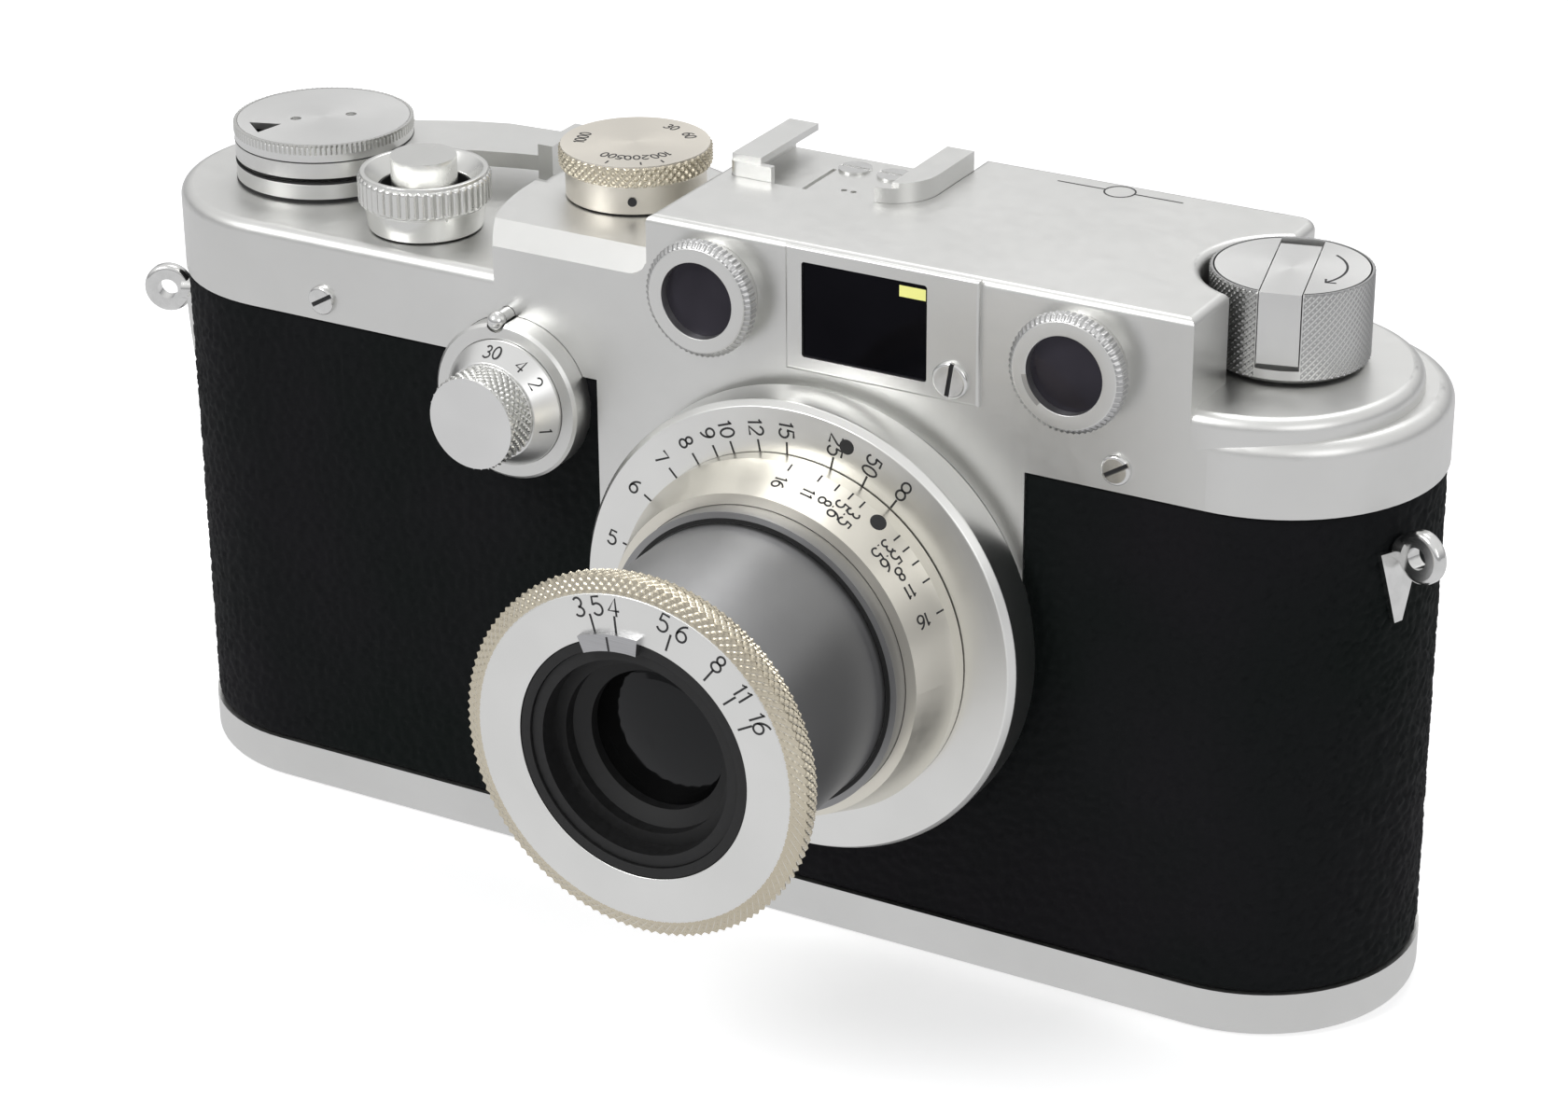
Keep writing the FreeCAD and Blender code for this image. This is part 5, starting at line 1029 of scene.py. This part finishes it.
def small_holes():
    # Each hole is a flat black disc: painted shade where the hole is.
    dial = upright_axis("speed_dial")
    spot("dial_set_screw", "speed_dial",
         dial.at(half_width("speed_dial") - 0.55, -62, bottom_of("speed_dial") + 1.3),
         dial.radial(-62), 0.45)
    spot("flange_set_screw", "camera_body", lens_axis.at(20.8, 74.1, front_of("lens_flange")),
         lens_axis.along, 0.75)
    notch, _, normal = on_cone(INDEX_ANGLE, 0.75)
    spot("focus_index_notch", "focus_ring", notch, normal, 0.8)


def screw_slots():
    """Painted shade on the floors of the three slots in the front: black strips at the solids' own
    directions.
    """
    low, high = corners("cover_screws")
    front = front_of("cover_screws")
    plate_x = corners("viewfinder_plate")[1].x - PLATE_SCREW_INSET
    row = low.z + COVER_SCREW
    places = ((low.x + COVER_SCREW, row, front - 0.8, 30, COVER_SCREW),
              (high.x - COVER_SCREW, row, front - 0.8, 32, COVER_SCREW),
              (plate_x, high.z - PLATE_SCREW, front - 0.3, 81, PLATE_SCREW))
    for number, (x, z, forward, turn, radius) in enumerate(places):
        centre = Vector((x, -forward, z))
        reach = radius - 0.2
        across = X * math.cos(math.radians(turn)) + Z * math.sin(math.radians(turn))
        engraving("screw_slot_shade%d" % number, "camera_body",
                  [([centre - across * reach, centre + across * reach], -Y)], SLOT_WIDTH, INK_AND_SHADE_PAINT,
                  proud=0.04)


def engraved_scales():
    for scale, body, width in ((distance_scale, "camera_body", 0.2),
                               (aperture_scale, "lens_tube", 0.2),
                               (depth_scale, "focus_ring", 0.17),
                               (speed_scale, "speed_dial", 0.16), (slow_scale, "slow_dial", 0.16),
                               (film_plane_mark, "camera_body", 0.16),
                               (crank_arrow, "rewind_knob", 0.22)):
        engraving(scale.__name__, body, scale(), width, INK_AND_SHADE_PAINT)
    small_holes()
    screw_slots()


# ---------------------------------------------------------------- light and view

def world_light():
    world = bpy.data.worlds.new("studio")
    bpy.context.scene.world = world
    world.use_nodes = True
    tree = world.node_tree
    background = tree.nodes["Background"]
    background.inputs["Color"].default_value = (0.97, 0.98, 1.0, 1)
    background.inputs["Strength"].default_value = 0.45
    shown = tree.nodes.new("ShaderNodeBackground")
    shown.inputs["Strength"].default_value = 1.0
    ray = tree.nodes.new("ShaderNodeLightPath")
    seen = tree.nodes.new("ShaderNodeMath")
    seen.operation = "MAXIMUM"
    tree.links.new(ray.outputs["Is Camera Ray"], seen.inputs[0])
    tree.links.new(ray.outputs["Is Transmission Ray"], seen.inputs[1])
    glossy = tree.nodes.new("ShaderNodeBackground")
    place = tree.nodes.new("ShaderNodeTexCoord")
    split = tree.nodes.new("ShaderNodeSeparateXYZ")
    tree.links.new(place.outputs["Generated"], split.inputs["Vector"])
    ramp = tree.nodes.new("ShaderNodeValToRGB")
    ramp.color_ramp.elements[0].color = (0.3, 0.3, 0.31, 1)
    ramp.color_ramp.elements[1].color = (0.93, 0.93, 0.93, 1)
    ramp.color_ramp.elements[1].position = 0.45
    tree.links.new(split.outputs["Z"], ramp.inputs["Fac"])
    tree.links.new(ramp.outputs["Color"], glossy.inputs["Color"])
    glossy.inputs["Strength"].default_value = 0.92
    first = tree.nodes.new("ShaderNodeMixShader")
    tree.links.new(ray.outputs["Is Glossy Ray"], first.inputs["Fac"])
    tree.links.new(background.outputs[0], first.inputs[1])
    tree.links.new(glossy.outputs[0], first.inputs[2])
    second = tree.nodes.new("ShaderNodeMixShader")
    tree.links.new(seen.outputs[0], second.inputs["Fac"])
    tree.links.new(first.outputs[0], second.inputs[1])
    tree.links.new(shown.outputs[0], second.inputs[2])
    tree.links.new(second.outputs[0], tree.nodes["World Output"].inputs["Surface"])


def area_light(name, place, target, size, watts):
    lamp = bpy.data.lights.new(name, "AREA")
    lamp.shape = "DISK"
    lamp.size = size
    lamp.energy = watts
    thing = bpy.data.objects.new(name, lamp)
    thing.location = place
    thing.rotation_euler = (Vector(target) - Vector(place)).to_track_quat("-Z", "Y").to_euler()
    bpy.context.scene.collection.objects.link(thing)


def floor():
    """A plain pale table that keeps the camera's shadow."""
    half = 3.0
    mesh = bpy.data.meshes.new("table")
    mesh.from_pydata([(-half, -half, 0), (half, -half, 0), (half, half, 0), (-half, half, 0)], [],
                     [(0, 1, 2, 3)])
    nodes = Nodes("table_paper")
    fibre = nodes.noise(400, 3)
    nodes.set(Base_Color=nodes.colours(fibre, (0.9, 0.9, 0.9), (0.93, 0.93, 0.93)),
              Roughness=0.9, Specular_IOR_Level=0.0)
    ray = nodes.tree.nodes.new("ShaderNodeLightPath")
    lift = nodes.add("ShaderNodeEmission", Strength=0.5)
    mirrored = nodes.add("ShaderNodeEmission", Color=(0.74, 0.74, 0.75, 1))
    both = nodes.tree.nodes.new("ShaderNodeAddShader")
    pick = nodes.tree.nodes.new("ShaderNodeMixShader")
    nodes.link(nodes.shader.outputs[0], both.inputs[0])
    nodes.link(lift.outputs[0], both.inputs[1])
    nodes.link(ray.outputs["Is Camera Ray"], pick.inputs["Fac"])
    nodes.link(nodes.shader.outputs[0], pick.inputs[1])
    nodes.link(both.outputs[0], pick.inputs[2])
    dimmed = nodes.tree.nodes.new("ShaderNodeMixShader")
    nodes.link(ray.outputs["Is Glossy Ray"], dimmed.inputs["Fac"])
    nodes.link(pick.outputs[0], dimmed.inputs[1])
    nodes.link(mirrored.outputs[0], dimmed.inputs[2])
    nodes.link(dimmed.outputs[0], nodes.tree.nodes["Material Output"].inputs["Surface"])
    mesh.materials.append(nodes.material)
    thing = bpy.data.objects.new("table", mesh)
    bpy.context.scene.collection.objects.link(thing)


def lights():
    area_light("key", (-0.45, -0.75, 0.85), (0, 0, 0.04), 0.5, 5)
    area_light("fill", (0.8, -0.5, 0.5), (0, 0, 0.04), 0.6, 1)
    area_light("top", (-0.1, 0.45, 0.9), (0, 0, 0.05), 0.6, 2.5)


def view():
    place = Vector((0.1795, -0.3188, 0.2042))
    forward = Vector((-0.4433, 0.7877, -0.4280)).normalized()
    right = forward.cross(Z).normalized()
    above = right.cross(forward)
    roll = math.radians(-0.40)
    turned_right = right * math.cos(roll) + above * math.sin(roll)
    turned_up = above * math.cos(roll) - right * math.sin(roll)
    camera = bpy.data.objects.new("camera", bpy.data.cameras.new("camera"))
    camera.data.sensor_width = 36
    camera.data.lens = 92.89
    camera.data.clip_start = 0.01
    basis = Matrix((turned_right, turned_up, -forward)).transposed()
    camera.matrix_world = Matrix.Translation(place) @ basis.to_4x4()
    bpy.context.scene.collection.objects.link(camera)
    bpy.context.scene.camera = camera
    bpy.context.scene.view_settings.view_transform = "Standard"


finish_cad_nodes()
leather_skin()
turned_pieces()
engraved_scales()
floor()
world_light()
lights()
view()
